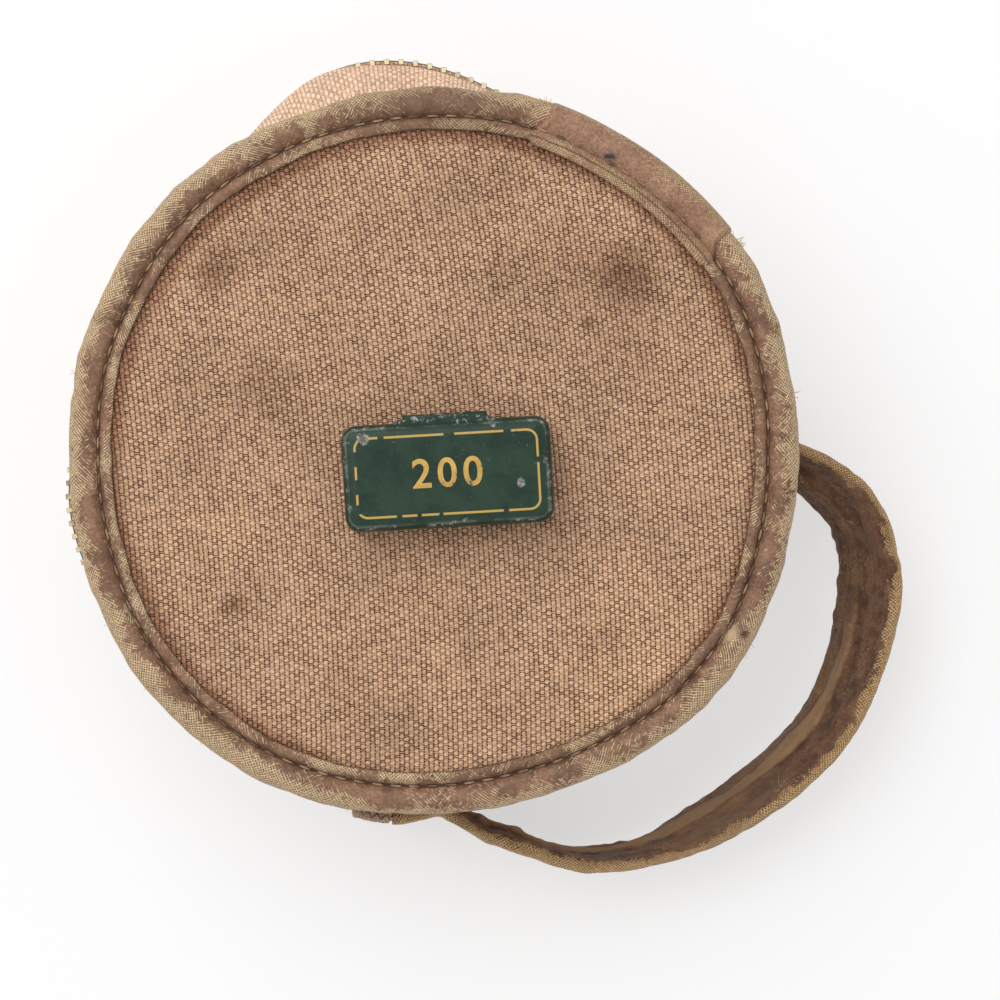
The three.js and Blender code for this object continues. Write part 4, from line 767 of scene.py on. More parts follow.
# The lid's rim is the same bound roll, the other way up. Over about a ninth of its way round,
# at the upper right, the binding's end laps over its start: a smoother, darker second layer.
lidRollHeight = 50.6
lapStart = 33.8
lapEnd = 73.1
piece = rim_piece("lid_rim", lidRollHeight, 1, pulled(rim_shift(lidRollHeight, 1, 3.0)))
dress(piece, "bag_lid", "bound_cloth", rimCloth, "lid_binding")

piece = ring_stitches("lid_rim_stitches", lambda turn: stitchRadius + out_of_round(turn),
                      lidRollHeight + 1.95, 2.2, 0.44, skip=lambda degrees: lapStart < degrees < lapEnd)
dress(piece, "bag_lid", "bound_cloth", tanThread)
lapOutline = [
    (59.95, 2.2), (61.1, 2.8), (62.5, 1.8), (63.9, 2.6), (66.0, 2.6), (67.6, 1.4), (68.1, 0.0), (67.9, -0.9),
    (68.7, -0.9), (68.85, 0.0), (68.7, 0.95), (68.2, 1.95), (67.3, 2.8), (66.3, 3.25), (65.3, 3.4),
    (64.4, 3.3), (63.7, 2.95), (63.2, 2.5), (62.8, 2.3), (62.4, 2.55), (61.9, 3.0), (61.3, 3.15),
    (60.7, 3.15), (60.2, 3.4), (59.85, 3.35), (59.65, 3.0), (59.7, 2.5),
]


def lap_shift(radius, height, turn, step):
    """Each end is a rounded tongue: the strip's end reaches further than the roll's."""
    share = (turn - math.radians(lapStart)) / math.radians(lapEnd - lapStart)
    tongue = np.exp(-((radius - 61.4) / 2.2) ** 2)
    back = 1.9 * (1 - tongue)
    at_start = 1 - smooth(share, 0, 0.25)
    at_end = smooth(share, 0.75, 1)
    turn = turn + np.radians(back * 1.4 * at_start - back * at_end)
    lumps = 0.35 * ripple(radius, height, turn, 5.0, 21.0) + 0.15 * ripple(radius, height, turn, 1.8, 23.0)
    from_end = np.minimum(share, 1 - share)
    thin = smooth(from_end, 0, 0.012)
    lumps = lumps + 0.35 * np.exp(-((from_end - 0.025) / 0.012) ** 2)
    lumps = lumps * (1 - 0.85 * np.exp(-((radius - 62.9) / 0.7) ** 2))
    high = height - lidRollHeight
    top = high > -0.5
    lower = np.where(top, -0.55 * (1 - thin), 0)
    return radius - 0.3 * (1 - thin) * (radius > 64), height + np.where(top, lumps * thin + lower, 0), turn


def lap_wear(tree, xyz, cloth):
    radius = distance_from_axis(tree, xyz)
    strip = ramp(tree, radius, 62.2 * mm, 63.6 * mm, 0.22, 0.0)
    return calc(tree, "ADD", ramp(tree, radius, 66.6 * mm, 70.4 * mm, -0.12, 0.30), strip)


# Dark lines in the valley by the stitches and on the strip: dirt, with painted shade in the valley.
lapDirtAndShade = dark_lines((girth_of(lapOutline, 18), 0.35, 0.5), (girth_of(lapOutline, 21), 0.3, 0.6))
lapCloth = bound_cloth("lap_cloth", lap_wear, lapDirtAndShade, glaze=(written(158, 119, 94), written(138, 102, 80)),
                       thread=written(198, 166, 128), shine=0.4)
lapProfile = [(r, lidRollHeight + z) for r, z in lapOutline]
piece = swept("lid_rim_lap", lapProfile, 150, lapStart, lapEnd, pulled(lap_shift), rollCentre)
dress(piece, "bag_lid", "bound_cloth", lapCloth)

piece = ring_stitches("lap_stitches", lambda turn: 62.9 + out_of_round(turn), lidRollHeight + 2.62, 1.9, 0.42,
                      skip=lambda degrees: not lapStart + 3 < degrees < lapEnd - 2)
dress(piece, "bag_lid", "bound_cloth", tanThread)

# A bit of blue mending thread is caught under the lap's stitches, and the cloth has frayed into
# loose fibres at the lap's ends, here and there along the rim and at the edge of the left tab.
hairTan = thread_material("frayed_fibres", written(214, 188, 142), written(180, 148, 108))
blueThread = thread_material("blue_thread", written(84, 88, 106), written(60, 58, 70))


def hair_model(length, width, bend):
    """One loose fibre: a thin rod pulled into a hook."""
    model = rod(length, width, 4, (-0.3, -0.1, 0.1, 0.3))
    for vertex in model.data.vertices:
        share = vertex.co.x / (length * mm) + 0.5
        vertex.co.y += bend * mm * share * share
        vertex.co.z += 0.3 * bend * mm * math.sin(share * math.pi)
    bpy.ops.object.shade_smooth()
    return model


def frayed(name, model, spots, seed, facing=0.0, loose=1.3):
    """spots: degrees round the rim, radius, height, how many fibres, how far they spread."""
    luck = np.random.default_rng(seed)
    places = []
    for degrees, radius, height, count, spread in spots:
        for _ in range(count):
            turn = math.radians(degrees + luck.normal(0, spread))
            reach = radius + out_of_round(turn) + luck.normal(0, 0.25)
            spot = on_ring(reach, turn, height + luck.normal(0, 0.5), facing + luck.uniform(-loose, loose))
            spot = spot @ Matrix.Rotation(luck.uniform(-0.6, 0.6), 4, "Y")
            places.append(spot @ Matrix.Scale(luck.uniform(0.5, 1.2), 4))
    piece = copied(name, model, places)
    remove(model)
    return piece


fibreSpots = [
    (34.2, 68.4, 51.5, 16, 0.7), (71.5, 68.2, 51.8, 16, 0.8), (9, 67.8, 51.2, 10, 0.6),
    (167, 67.9, 51.2, 10, 0.7), (328, 67.9, 51.6, 10, 0.6), (230, 68.0, 51.0, 5, 6.0),
    (124, 67.9, 51.2, 5, 9.0), (215, 68.0, 51.0, 5, 8.0), (256.5, 70.6, 21.5, 9, 0.7),
]
piece = frayed("rim_fibres", hair_model(1.6, 0.11, 0.7), fibreSpots, 4)
dress(piece, "bag_lid", "bound_cloth", hairTan)
blueSpots = [(59.3, 63.5, lidRollHeight + 3.1, 4, 0.35)]
piece = frayed("blue_thread_bit", hair_model(1.9, 0.34, 0.5), blueSpots, 9, math.pi / 2, 0.3)
dress(piece, "bag_lid", "bound_cloth", blueThread)


# The bag's wall is one canvas band above the zip and one below it. Where the bag is folded open
# less neatly, at the top and on the left of the view, the wall and the zip belly out past the rim.
bellyPlaces = [(100, 23.2, 22.6, 11.6), (190, 18.0, 27.0, 6.4)]


def belly(turn):
    degrees = np.degrees(turn) % 360
    swell = 0
    for at, before, after, size in bellyPlaces:
        width = np.where(degrees < at, before, after)
        swell = swell + size * np.exp(-((degrees - at) / width) ** 2)
    return swell


def tape_lean(turn):
    """The zip lies on its side where the wall bellies out, except where the wall folds over it."""
    degrees = np.degrees(turn) % 360
    return (0.14 - 0.18 * smooth(degrees, 95, 110) * (1 - smooth(degrees, 122, 136))
            + 0.09 * smooth(degrees, 150, 170) * (1 - smooth(degrees, 215, 235)))


def wall_shift(rim_height, zip_edge, seed):
    def shift(radius, height, turn, step):
        rise = np.clip((height - rim_height) / (zip_edge - rim_height), 0, 1)
        out = (1 - tape_lean(turn)) * belly(turn) * np.sin(rise * math.pi / 2) ** 0.9
        folds = 0.35 * ripple(radius, height * 0.4, turn, 8.0, seed)
        folds = folds * smooth(rise, 0, 0.4) * (1 - smooth(rise, 0.7, 1))
        return radius + out + folds, height, turn

    return shift


wallThreads = 540
wallColumn = wallRadius * 2 * math.pi / wallThreads * mm
wallRows = 9
# The wall's first yarn colour is likewise painted shade in the gaps between its threads.
wallCanvas = canvas("wall_canvas", cloth_space, wallColumn, light=1.22,
                    yarns=(written(178, 142, 116), written(202, 167, 140), written(220, 188, 162)))


def wall_profile(rim, edge):
    shares = [i / wallRows for i in range(wallRows + 1)]
    outer = [(63.5 + 1.6 * math.sin(s * math.pi / 2), rim + (edge - rim) * s) for s in shares]
    inner = [(r - 1.6, z) for r, z in outer[::-1]]
    return outer + inner


walls = [("lower_wall", "bag_base", 6.2, 23.7, 2.0), ("upper_wall", "bag_lid", 47.7, 36.3, 7.0)]
for name, body, rim, edge, seed in walls:
    piece = swept(f"{name}_cloth", wall_profile(rim, edge), 240, shift=wall_shift(rim, edge, seed))
    dress(piece, body, "canvas", wallCanvas, name)


# The zip's tapes: the canvas is turned in and stitched down onto a dark blue tape, whose edge
# shows as a thin line along the teeth.
hingeAt = -47.5
zipStart = hingeAt + 22.5
zipEnd = hingeAt + 360 - 22.5
zipHeight = 30
tapeFold = 2.2
tapeSeam = 4.2


def tape_material():
    material, tree, shader, xyz = new_material("zip_tape_cloth")
    off = apart(tree, axes_of(tree, xyz)[2], zipHeight * mm)
    folded = ramp(tree, off, tapeFold * mm, (tapeFold + 0.15) * mm)
    seam = ramp(tree, apart(tree, off, tapeSeam * mm), 0.1 * mm, 0.3 * mm, 0.75, 0.0)
    cloth = cloth_space(tree)
    threads = place(tree, weave, Vector=cloth, Column=wallColumn, Row=canvasRow, Wander=0.1 * mm)
    fine = place(tree, weave, Vector=cloth, Column=wallColumn / 2, Row=0.3 * mm, Wander=0.05 * mm)["Height"]
    outer = mixed(tree, threads["Upright"], canvasWeft, canvasBead)
    # The low places between the canvas threads take the gap colour, painted shade; the blue tape is lighter
    # on its raised fine threads and darker between them, painted light and shade.
    outer = mixed(tree, ramp(tree, threads["Height"], 0.06, 0.6), canvasGap, outer)
    outer = mixed(tree, seam, outer, canvasGap)
    blue = mixed(tree, fine, written(36, 40, 56), written(80, 86, 108))
    rise = calc(tree, "MULTIPLY_ADD", folded, 1.5, calc(tree, "MULTIPLY", threads["Height"], folded))
    rise = calc(tree, "MULTIPLY_ADD", fine, 0.3, rise)
    finished(tree, shader, mixed(tree, folded, blue, outer), ramp(tree, folded, 0.0, 1.0, 0.8, 0.93),
             (rise, 0.3 * mm, 0.7))
    return material


tapeCloth = tape_material()


def tape_shift(radius, height, turn, step):
    """Where the wall bellies out, the tapes lean out further towards the teeth."""
    return radius + belly(turn) * (1 - tape_lean(turn) * np.abs(height - zipHeight) / 6), height, turn


def tape_profile(up):
    rises = [0.6, 1.3, 2.2, 2.35, 3.4, 4.4, 5.4, 6.0]
    outs = [64.35, 64.4, 64.45, 64.8, 64.85, 64.8, 64.75, 64.6]
    outer = [(r, zipHeight + up * z) for r, z in zip(outs, rises)]
    inner = [(63.5, zipHeight + up * z) for z in rises[::-1]]
    return outer + inner


for name, up, body in (("lower", -1, "bag_base"), ("upper", 1, "bag_lid")):
    piece = swept(f"zip_tape_{name}_cloth", tape_profile(up), 300, zipStart, zipEnd, tape_shift)
    dress(piece, body, "zip_tape", tapeCloth, f"zip_tape_{name}")


# The zip's teeth are stamped from white metal that has yellowed a little, one every 2.4 mm, each
# clamped over the blue cord on its tape's edge. The two rows stop just short of each other.
def bevelled(piece, width, segments=2, angle=35):
    apply_modifier(piece, "BEVEL", width=width * mm, segments=segments, limit_method="ANGLE",
                   angle_limit=math.radians(angle))


def scratched(tree, xyz, length, amount, turn):
    """Fine scratches that cross at twice the turn, each about the length in millimetres."""
    inputs = {"Vector": xyz, "Length": length * mm, "Width": 0.12 * mm, "Amount": amount, "Turn": turn}
    return place(tree, lines, **inputs)["Mask"]


def worn_metal(name, bright, dull, rough, rough_dull, patch=60.0, scratch=0.35):
    """Plated or cut metal with dull patches and fine scratches."""
    material, tree, shader, xyz = new_material(name)
    dulled = ramp(tree, grains(tree, xyz, patch, 5.0, 0.6), 0.47, 0.72)
    scratches = scratched(tree, xyz, 6, scratch, 0.5)
    level = calc(tree, "MULTIPLY_ADD", scratches, 0.15, ramp(tree, dulled, 0.0, 1.0, rough, rough_dull))
    rise = calc(tree, "MULTIPLY_ADD", grains(tree, xyz, 900.0), 0.25, calc(tree, "MULTIPLY", scratches, -0.6))
    tint = mixed(tree, dulled, bright, dull)
    finished(tree, shader, tint, level, (rise, 0.04 * mm, 0.5), {"Metallic": 1.0})
    return material


whiteMetal = worn_metal("zip_white_metal", written(188, 176, 142), written(120, 108, 82), 0.36, 0.52, 400.0)
toothPitch = 2.4
toothSize = (1.15, 1.05, 1.5)

deselect()
bpy.ops.mesh.primitive_cube_add(size=1)
tooth = bpy.context.object
for vertex in tooth.data.vertices:
    vertex.co = [value * (size * mm) for value, size in zip(vertex.co, toothSize)]
bpy.ops.object.mode_set(mode="EDIT")
bpy.ops.mesh.select_mode(type="FACE")
bpy.ops.mesh.select_all(action="DESELECT")
bpy.ops.object.mode_set(mode="OBJECT")
for face in tooth.data.polygons:
    face.select = face.normal.z > 0.9
bpy.ops.object.mode_set(mode="EDIT")
bpy.ops.mesh.inset(thickness=0.22 * mm)
bpy.ops.mesh.extrude_region_move(TRANSFORM_OT_translate={"value": (0, 0, 0.75 * mm)})
bpy.ops.transform.resize(value=(0.9, 0.62, 1), center_override=(0, 0, 1.5 * mm))
bpy.ops.object.mode_set(mode="OBJECT")
bevelled(tooth, 0.16, 1)
bpy.ops.object.shade_smooth_by_angle(angle=math.radians(45))


def chain_places(up):
    sweep = math.radians(zipEnd - zipStart)
    count = int(65.9 * sweep / toothPitch)
    spots = []
    for i in range(count + 1):
        turn = math.radians(zipStart) + sweep * (i + 0.5) / (count + 1)
        radius = 65.3 + 0.95 * float(belly(np.array(turn)))
        spot = on_ring(radius, turn, zipHeight + up * 1.95, 0)
        spots.append(spot @ Matrix.Rotation(0 if up < 0 else math.pi, 4, "X"))
    return spots


cordRound = [(65.0 + 0.55 * math.cos(a), 0.62 * math.sin(a)) for a in np.linspace(0, 2 * math.pi, 9)[:8]]
for name, up, body in (("lower", -1, "bag_base"), ("upper", 1, "bag_lid")):
    piece = copied(f"zip_teeth_{name}_row", tooth, chain_places(up))
    dress(piece, body, "zip_metal", whiteMetal, f"zip_teeth_{name}")
    cordProfile = [(r, zipHeight + up * 1.9 + z) for r, z in cordRound]
    cord = swept(f"zip_cord_{name}", cordProfile, 200, zipStart, zipEnd, tape_shift)
    dress(cord, body, "zip_tape", tapeCloth)
remove(tooth)


# The last eighth of the way round has no zip: one doubled length of the same canvas joins the
# two walls there and is the lid's hinge.
hingeOutline = [(64.8, 24.0), (66.6, 27.0), (67.3, 30.0), (66.6, 33.0), (64.8, 36.0),
                (63.9, 36.0), (65.5, 33.0), (66.2, 30.0), (65.5, 27.0), (63.9, 24.0)]


def fine_rows(outline, parts):
    rows = []
    for (r0, z0), (r1, z1) in zip(outline, outline[1:] + outline[:1]):
        rows += [(r0 + (r1 - r0) * i / parts, z0 + (z1 - z0) * i / parts) for i in range(parts)]
    return rows


piece = swept("hinge_cloth", fine_rows(hingeOutline, 3), 60, hingeAt - 22.35, hingeAt + 22.35)
dress(piece, None, "canvas", wallCanvas, "fabric_hinge")
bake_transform(piece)


# The zip's slider and its pull are nickelled. The slider runs on the teeth at the right of the
# view, half under the rim, and its pull lies along the zip.
zipNickel = worn_metal("zip_nickel", written(206, 202, 190), written(140, 130, 108), 0.28, 0.5, 260.0)


def softened(name, node, width):
    """A copy of a rigid solid with its points merged, its flat faces made whole and its edges eased."""
    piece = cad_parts[node].copy()
    piece.data = piece.data.copy()
    bpy.context.collection.objects.link(piece)
    piece.hide_render = piece.hide_viewport = False
    piece.parent = None
    piece.matrix_world = Matrix.Identity(4)
    piece.name = piece.data.name = name
    choose(piece)
    if piece.data.has_custom_normals:
        bpy.ops.mesh.customdata_custom_splitnormals_clear()
    bpy.ops.object.mode_set(mode="EDIT")
    bpy.ops.mesh.select_all(action="SELECT")
    bpy.ops.mesh.remove_doubles(threshold=mergeDistance)
    bpy.ops.mesh.dissolve_limited(angle_limit=math.radians(1.5))
    bpy.ops.object.mode_set(mode="OBJECT")
    bevelled(piece, width, angle=30)
    bpy.ops.object.shade_smooth_by_angle(angle=math.radians(40))
    return piece


def ease(width, body, slot, material, **pieces):
    """For each solid, named on the left, an eased copy that takes the name on the right."""
    for node, name in pieces.items():
        dress(softened(name, node, width), body, slot, material, node)


ease(0.18, "zip_slider", "zip_metal", zipNickel, zip_slider="slider_body")
ease(0.2, "zip_pull", "zip_metal", zipNickel, zip_pull="slider_pull")


# The hand strap is a flat band of the same glazed cloth, folded over a stiffener with its raw
# edges meeting on the inside. It stands on edge, leaning outwards where the hand goes through.
strapTop = [
    (46.8, 53.1), (53.0, 56.1), (60.6, 57.7), (67.7, 56.8), (72.9, 54.6), (78.9, 51.0), (83.6, 46.1),
    (88.2, 39.5), (93, 30.1), (96.1, 20.5), (96.7, 8.1), (95, -3.7), (91.9, -14), (87.2, -23.1),
    (81.6, -31.2), (75.3, -36.1), (68, -40), (61.5, -43.3), (56.0, -45.3), (52.3, -46.6), (49.6, -50.8),
    (46.9, -54.7),
]
strapBottom = [
    (47.6, 50.6), (54.2, 48.6), (62.4, 49.2), (69.5, 46.5), (74.5, 41.2), (82, 31.5), (87.1, 20.6),
    (88.3, 10), (88, 0.7), (86.8, -10.5), (84.4, -22), (80.7, -29.6), (75.3, -35.6), (68.1, -39.9),
    (61.7, -43.0), (56.2, -45.4), (52.6, -47.0), (49.9, -51.2), (47.1, -54.9),
]
strapSteps = 260
strapTopHeight = 22.4
strapBottomHeight = 1.3
strapHalfThick = 1.15


def evenly(points, count):
    """A smooth curve through the points, then points at equal distances along it."""
    points = np.array(points, dtype=float)
    ghost = np.vstack([2 * points[0] - points[1], points, 2 * points[-1] - points[-2]])
    fine = []
    for a, b, c, d in zip(ghost, ghost[1:], ghost[2:], ghost[3:]):
        for t in np.linspace(0, 1, 24, endpoint=False):
            fine.append(0.5 * (2 * b + (c - a) * t + (2 * a - 5 * b + 4 * c - d) * t * t
                               + (3 * b - a - 3 * c + d) * t ** 3))
    fine = np.array(fine + [points[-1]])
    run = np.concatenate([[0], np.cumsum(np.linalg.norm(np.diff(fine, axis=0), axis=1))])
    even = np.linspace(0, run[-1], count)
    return np.stack([np.interp(even, run, fine[:, k]) for k in range(2)], 1), run[-1]


def bag_frame(along, sideways):
    """From places counted along and across the hinge's direction to the frame's own axes."""
    a = math.radians(hingeAt)
    return along * math.cos(a) - sideways * math.sin(a), along * math.sin(a) + sideways * math.cos(a)


# Up the inside face (-1), over the top edge, down the outside face (+1) and under the bottom edge:
# share of the height from the bottom, share of half the thickness outwards
strapSection = [
    (0.03, -0.55), (0.08, -0.95), (0.12, -1.05), (0.16, -1.05), (0.20, -1.0), (0.235, -1.2), (0.255, -1.15),
    (0.27, -0.3), (0.285, -1.3), (0.30, -1.6), (0.33, -1.55), (0.37, -1.5), (0.405, -1.5), (0.43, -1.35),
    (0.445, -0.85), (0.47, -1.15), (0.50, -1.3), (0.53, -1.05), (0.60, -1.0), (0.68, -1.05), (0.75, -1.15),
    (0.80, -1.05), (0.85, -1.1), (0.90, -1.1), (0.94, -1.0), (0.98, -0.7), (1.0, -0.15), (0.995, 0.4),
    (0.965, 0.85), (0.91, 1.05), (0.80, 1.1), (0.65, 1.15), (0.50, 1.15), (0.35, 1.15), (0.20, 1.1),
    (0.10, 1.0), (0.05, 0.75), (0.015, 0.3), (0.0, -0.2),
]
strap, share, edge_step = flat_grid("strap_band", strapSteps, len(strapSection))
along = np.rint(share * strapSteps).astype(int)
topLine, strapLength = evenly(strapTop, strapSteps + 1)
bottomLine, _ = evenly(strapBottom, strapSteps + 1)
rise, depth = np.array(strapSection)[edge_step % len(strapSection)].T
share = along / strapSteps
run = share * strapLength
ahead = np.gradient(topLine, axis=0)
ahead /= np.linalg.norm(ahead, axis=1, keepdims=True)
outward = np.stack([-ahead[:, 1], ahead[:, 0]], 1)[along]
lean = (topLine - bottomLine)[along]
tall = strapTopHeight - strapBottomHeight
tilt = np.arctan((lean * outward).sum(1) / tall)


def strap_noise(*axes):
    """Smooth random values at places along, up and through the strap."""
    return np.array([noise.noise(Vector(spot)) for spot in zip(*np.broadcast_arrays(*axes))])


soft = strap_noise(run / 7.0, rise * 3.0, depth * 1.5)
fine = strap_noise(run / 7.0 * 3.1 + 9, rise * 3.0 * 3.1 + 9, depth * 1.5 * 3.1 + 9)
creases = strap_noise(run / 16.0, rise * 9.0 + 3, depth)
cracks = strap_noise(run / 2.4, rise * 4.0 + 13, depth)
bends = np.exp(-((share - 0.17) / 0.10) ** 2) + np.exp(-((share - 0.90) / 0.08) ** 2)
thick = depth * strapHalfThick + (0.35 * soft + 0.25 * fine) * np.sign(depth)
thick = thick + np.where(depth < -0.3, 0.75 * creases + (0.18 + 0.5 * bends) * cracks, 0)
height = strapBottomHeight + tall * rise
height = height + 0.35 * strap_noise(run / 11.0, 4, 4) * np.exp(-((rise - 0.30) / 0.12) ** 2)
scallop = np.abs(np.sin(run / 3.6 * math.pi))
height = height + np.exp(-(rise / 0.12) ** 2) * (0.75 * scallop + 0.6 * soft) + (rise > 0.9) * 0.4 * soft
height = height - thick * np.sin(tilt)
spots = bottomLine[along] * (1 - rise[:, None]) + topLine[along] * rise[:, None]
spots = spots + outward * (thick * np.cos(tilt))[:, None]
x, y = bag_frame(spots[:, 0], spots[:, 1])
strap.data.vertices.foreach_set("co", (np.stack([x, y, height], 1) * mm).ravel())
walk = [Vector((h * tall, d * strapHalfThick)) for h, d in strapSection]
girth = np.concatenate([[0], np.cumsum([(b - a).length for a, b in zip(walk, walk[1:] + walk[:1])])])
set_cloth(strap, run * mm, girth[edge_step] * mm)
close(strap, open_ends=True)


def strap_wear(tree, xyz, cloth):
    """Worn along the top edge and on the outside face; the inside face is dark and glazed."""
    girth = axes_of(tree, cloth)[1]
    uneven = calc(tree, "MULTIPLY_ADD", grains(tree, xyz, 300.0, 5.0, 0.7), 7.0 * mm, girth)
    top = ramp(tree, uneven, 23.6 * mm, 27.0 * mm, -0.3, 0.36)
    outside = ramp(tree, girth, 26 * mm, 32 * mm, 0.0, 0.2)
    return calc(tree, "SUBTRACT", top, outside)


def strap_seam_and_fold_shade(tree, xyz, cloth):
    """The dark line where the raw edges meet in their groove, and darker lengthwise folds beside it on the
    inside face; the darkness of both is painted shade.
    """
    axes = axes_of(tree, cloth)
    drawn = vector_of(tree, calc(tree, "MULTIPLY", axes[0], 0.14), axes[1])
    folds = ramp(tree, grains(tree, drawn, 560.0, 5.0, 0.7), 0.48, 0.66, 0.0, 0.6)
    seam = ramp(tree, apart(tree, axes[1], girth[7] * mm), 0.25 * mm, 0.9 * mm, 1.0, 0.0)
    inside = ramp(tree, axes[1], 18 * mm, 21 * mm, 1.0, 0.0)
    beside = ramp(tree, axes[1], girth[14] * mm, (girth[14] + 2.2) * mm, 0.35, 1.0)
    return calc(tree, "MULTIPLY", calc(tree, "MAXIMUM", calc(tree, "MULTIPLY", folds, beside), seam), inside)


def strap_hem(tree, xyz, cloth):
    """The turned-in edge beside the seam is rubbed pale along most of the strap."""
    axes = axes_of(tree, cloth)
    ragged = calc(tree, "MULTIPLY_ADD", grains(tree, xyz, 420.0, 4.0, 0.7), 1.6 * mm, axes[1])
    low = ramp(tree, ragged, (girth[8] + 0.5) * mm, (girth[8] + 1.3) * mm, 0.25, 0.85)
    high = ramp(tree, ragged, (girth[13] + 0.4) * mm, (girth[14] + 1.4) * mm, 1.0, 0.0)
    ends = ramp(tree, axes[0], 34 * mm, 62 * mm, 0.15, 1.0)
    return calc(tree, "MULTIPLY", calc(tree, "MULTIPLY", low, high), ends)


strapCloth = bound_cloth("strap_cloth", strap_wear, strap_seam_and_fold_shade,
                         glaze=(written(136, 102, 78), written(94, 68, 52)),
                         thread=written(210, 174, 126), shine=0.50, wear=-0.02,
                         rubbed=(strap_hem, written(184, 152, 116)),
                         torn=[((56, -71, 12), 15.0, 0.5, written(150, 124, 98))])
dress(strap, None, "bound_cloth", strapCloth, "strap")
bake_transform(strap)


# Each end of the strap is sewn to the lower wall under a doubled tab of the same cloth, with a
# row of zig-zag stitches. The left tab stands out past the rim and its edge is frayed.
tabOutline = [
    (65.35, 7.0), (65.3, 15.0), (65.35, 23.0), (66.2, 23.7), (67.6, 23.9), (69.0, 23.6), (69.8, 22.8),
    (70.1, 21.2), (70.2, 18.0), (70.2, 13.0), (70.1, 9.0), (69.7, 7.3), (68.4, 6.5), (66.4, 6.4),
]
tabInside = 65.3


def tab_shift(start, end, proud, seed):
    def shift(radius, height, turn, step):
        share = (turn - math.radians(start)) / math.radians(end - start)
        ends = smooth(share, 0, 0.12) * smooth(1 - share, 0, 0.12)
        stepped = 1 - smooth(share, 0.50, 0.56) * (proud > 0)
        lumps = 0.4 * ripple(radius, height, turn, 3.5, seed)
        lumps = lumps + 0.2 * ripple(radius, height, turn, 1.3, seed + 4)
        off = radius - tabInside
        out = off * (0.45 + 0.30 * ends + 0.25 * ends * stepped)
        out = out + proud * ends * stepped * (off > 0.5) * (0.5 + 0.1 * off)
        lumps = np.where(off < 0.3, 0, lumps)
        return tabInside + out + lumps, height + 0.6 * lumps, turn

    return shift


def tab_wear(tree, xyz, cloth):
    girth = axes_of(tree, cloth)[1]
    rim = ramp(tree, girth, 15 * mm, 18 * mm, 0.0, 0.3)
    return calc(tree, "SUBTRACT", rim, ramp(tree, girth, 21 * mm, 24 * mm, 0.0, 0.15))


tabCloth = bound_cloth("tab_cloth", tab_wear, glaze=(written(168, 134, 118), written(126, 96, 82)),
                       thread=written(196, 166, 140), wear=-0.12)
tabs = [("right", 45.8, 60.0, 0.0, 31.0), ("left", -57.0, -42.6, 3.0, 35.0)]
for name, start, end, proud, seed in tabs:
    shift = tab_shift(hingeAt + start, hingeAt + end, proud, seed)
    piece = swept(f"strap_tab_{name}_cloth", tabOutline, 60, hingeAt + start, hingeAt + end, shift)
    dress(piece, "bag_base", "bound_cloth", tabCloth, f"strap_tab_{name}")

model = stitch_model(1.5, 0.3)
zigzagTurn = 38
places = []
for i in range(9):
    slant = math.radians(zigzagTurn if i % 2 else -zigzagTurn)
    places.append(on_ring(71.7, math.radians(hingeAt - 55.0 + i * 0.72), 23.95, slant))
piece = copied("tab_zigzag", model, places)
remove(model)
dress(piece, "bag_base", "bound_cloth", tanThread)


# The needle tin stands on the lid: thin pressed tinplate, painted dark green, with a fine gold line
# round its top. Its rounded edges are worn to the metal, and its lower half keeps a neck inside the lid.
tinTurn = math.radians(3.3)
tinCentre = (2.83 * mm, -4.16 * mm, 53.4 * mm)
tinPlace = Matrix.Translation(tinCentre) @ Matrix.Rotation(tinTurn, 4, "Z")
tinHalfLong = 19.4
tinHalfWide = 9.85
tinCorner = 2.8
tinTop = 9.1


def pressed(name, profile, shift=None):
    """A line of inset and height from the middle of the inside, over the rim, to the middle of
    the outside, carried round the tin's rounded rectangle."""
    steps = 12
    count = 4 * steps
    piece, share, row = flat_grid(name, count, len(profile) - 1)
    for vertex, at, j in zip(piece.data.vertices, share, row):
        inset, height = profile[j]
        quarter, part = divmod(round(at * count) % count, steps)
        turn = math.radians(quarter * 90 + part * 90 / (steps - 1))
        corner = max(tinCorner - inset, 0)
        long = (tinHalfLong - max(inset, tinCorner)) * (1 if quarter in (0, 3) else -1)
        wide = (tinHalfWide - max(inset, tinCorner)) * (1 if quarter in (0, 1) else -1)
        vertex.co = Vector([long + corner * math.cos(turn), wide + corner * math.sin(turn), height]) * mm
    close(piece)
    if shift:
        for vertex in piece.data.vertices:
            shift(vertex)
    piece.data.transform(tinPlace)
    bpy.ops.object.shade_smooth_by_angle(angle=math.radians(50))
    return piece


def block(low, high, width, spot=Matrix.Identity(4)):
    """A small plate between two corners, with eased edges."""
    deselect()
    bpy.ops.mesh.primitive_cube_add(size=1)
    piece = bpy.context.object
    for vertex in piece.data.vertices:
        vertex.co = Vector([(a + b) / 2 + (b - a) * c for a, b, c in zip(low, high, vertex.co)]) * mm
    bevelled(piece, width)
    piece.data.transform(spot)
    return piece


def joined(name, *pieces):
    deselect()
    for piece in pieces:
        piece.select_set(True)
    bpy.context.view_layer.objects.active = pieces[0]
    bpy.ops.object.join()
    piece = bpy.context.object
    piece.name = piece.data.name = name
    return piece


def knuckle(start, end):
    """A short tube round the tin's pin, between two shares of the hinge's length."""
    outer, inner, half = 0.64, 0.42, (end - start) * 8 - 0.1
    piece = swept("knuckle", [(inner, -half), (outer, -half), (outer, half), (inner, half)], 20)
    middle = tinPlace @ Matrix.Translation(((start + end) * 8 * mm, 10.75 * mm, 4.15 * mm))
    piece.data.transform(middle @ Matrix.Rotation(math.pi / 2, 4, "Y"))
    bpy.ops.object.shade_smooth_by_angle(angle=math.radians(40))
    return piece


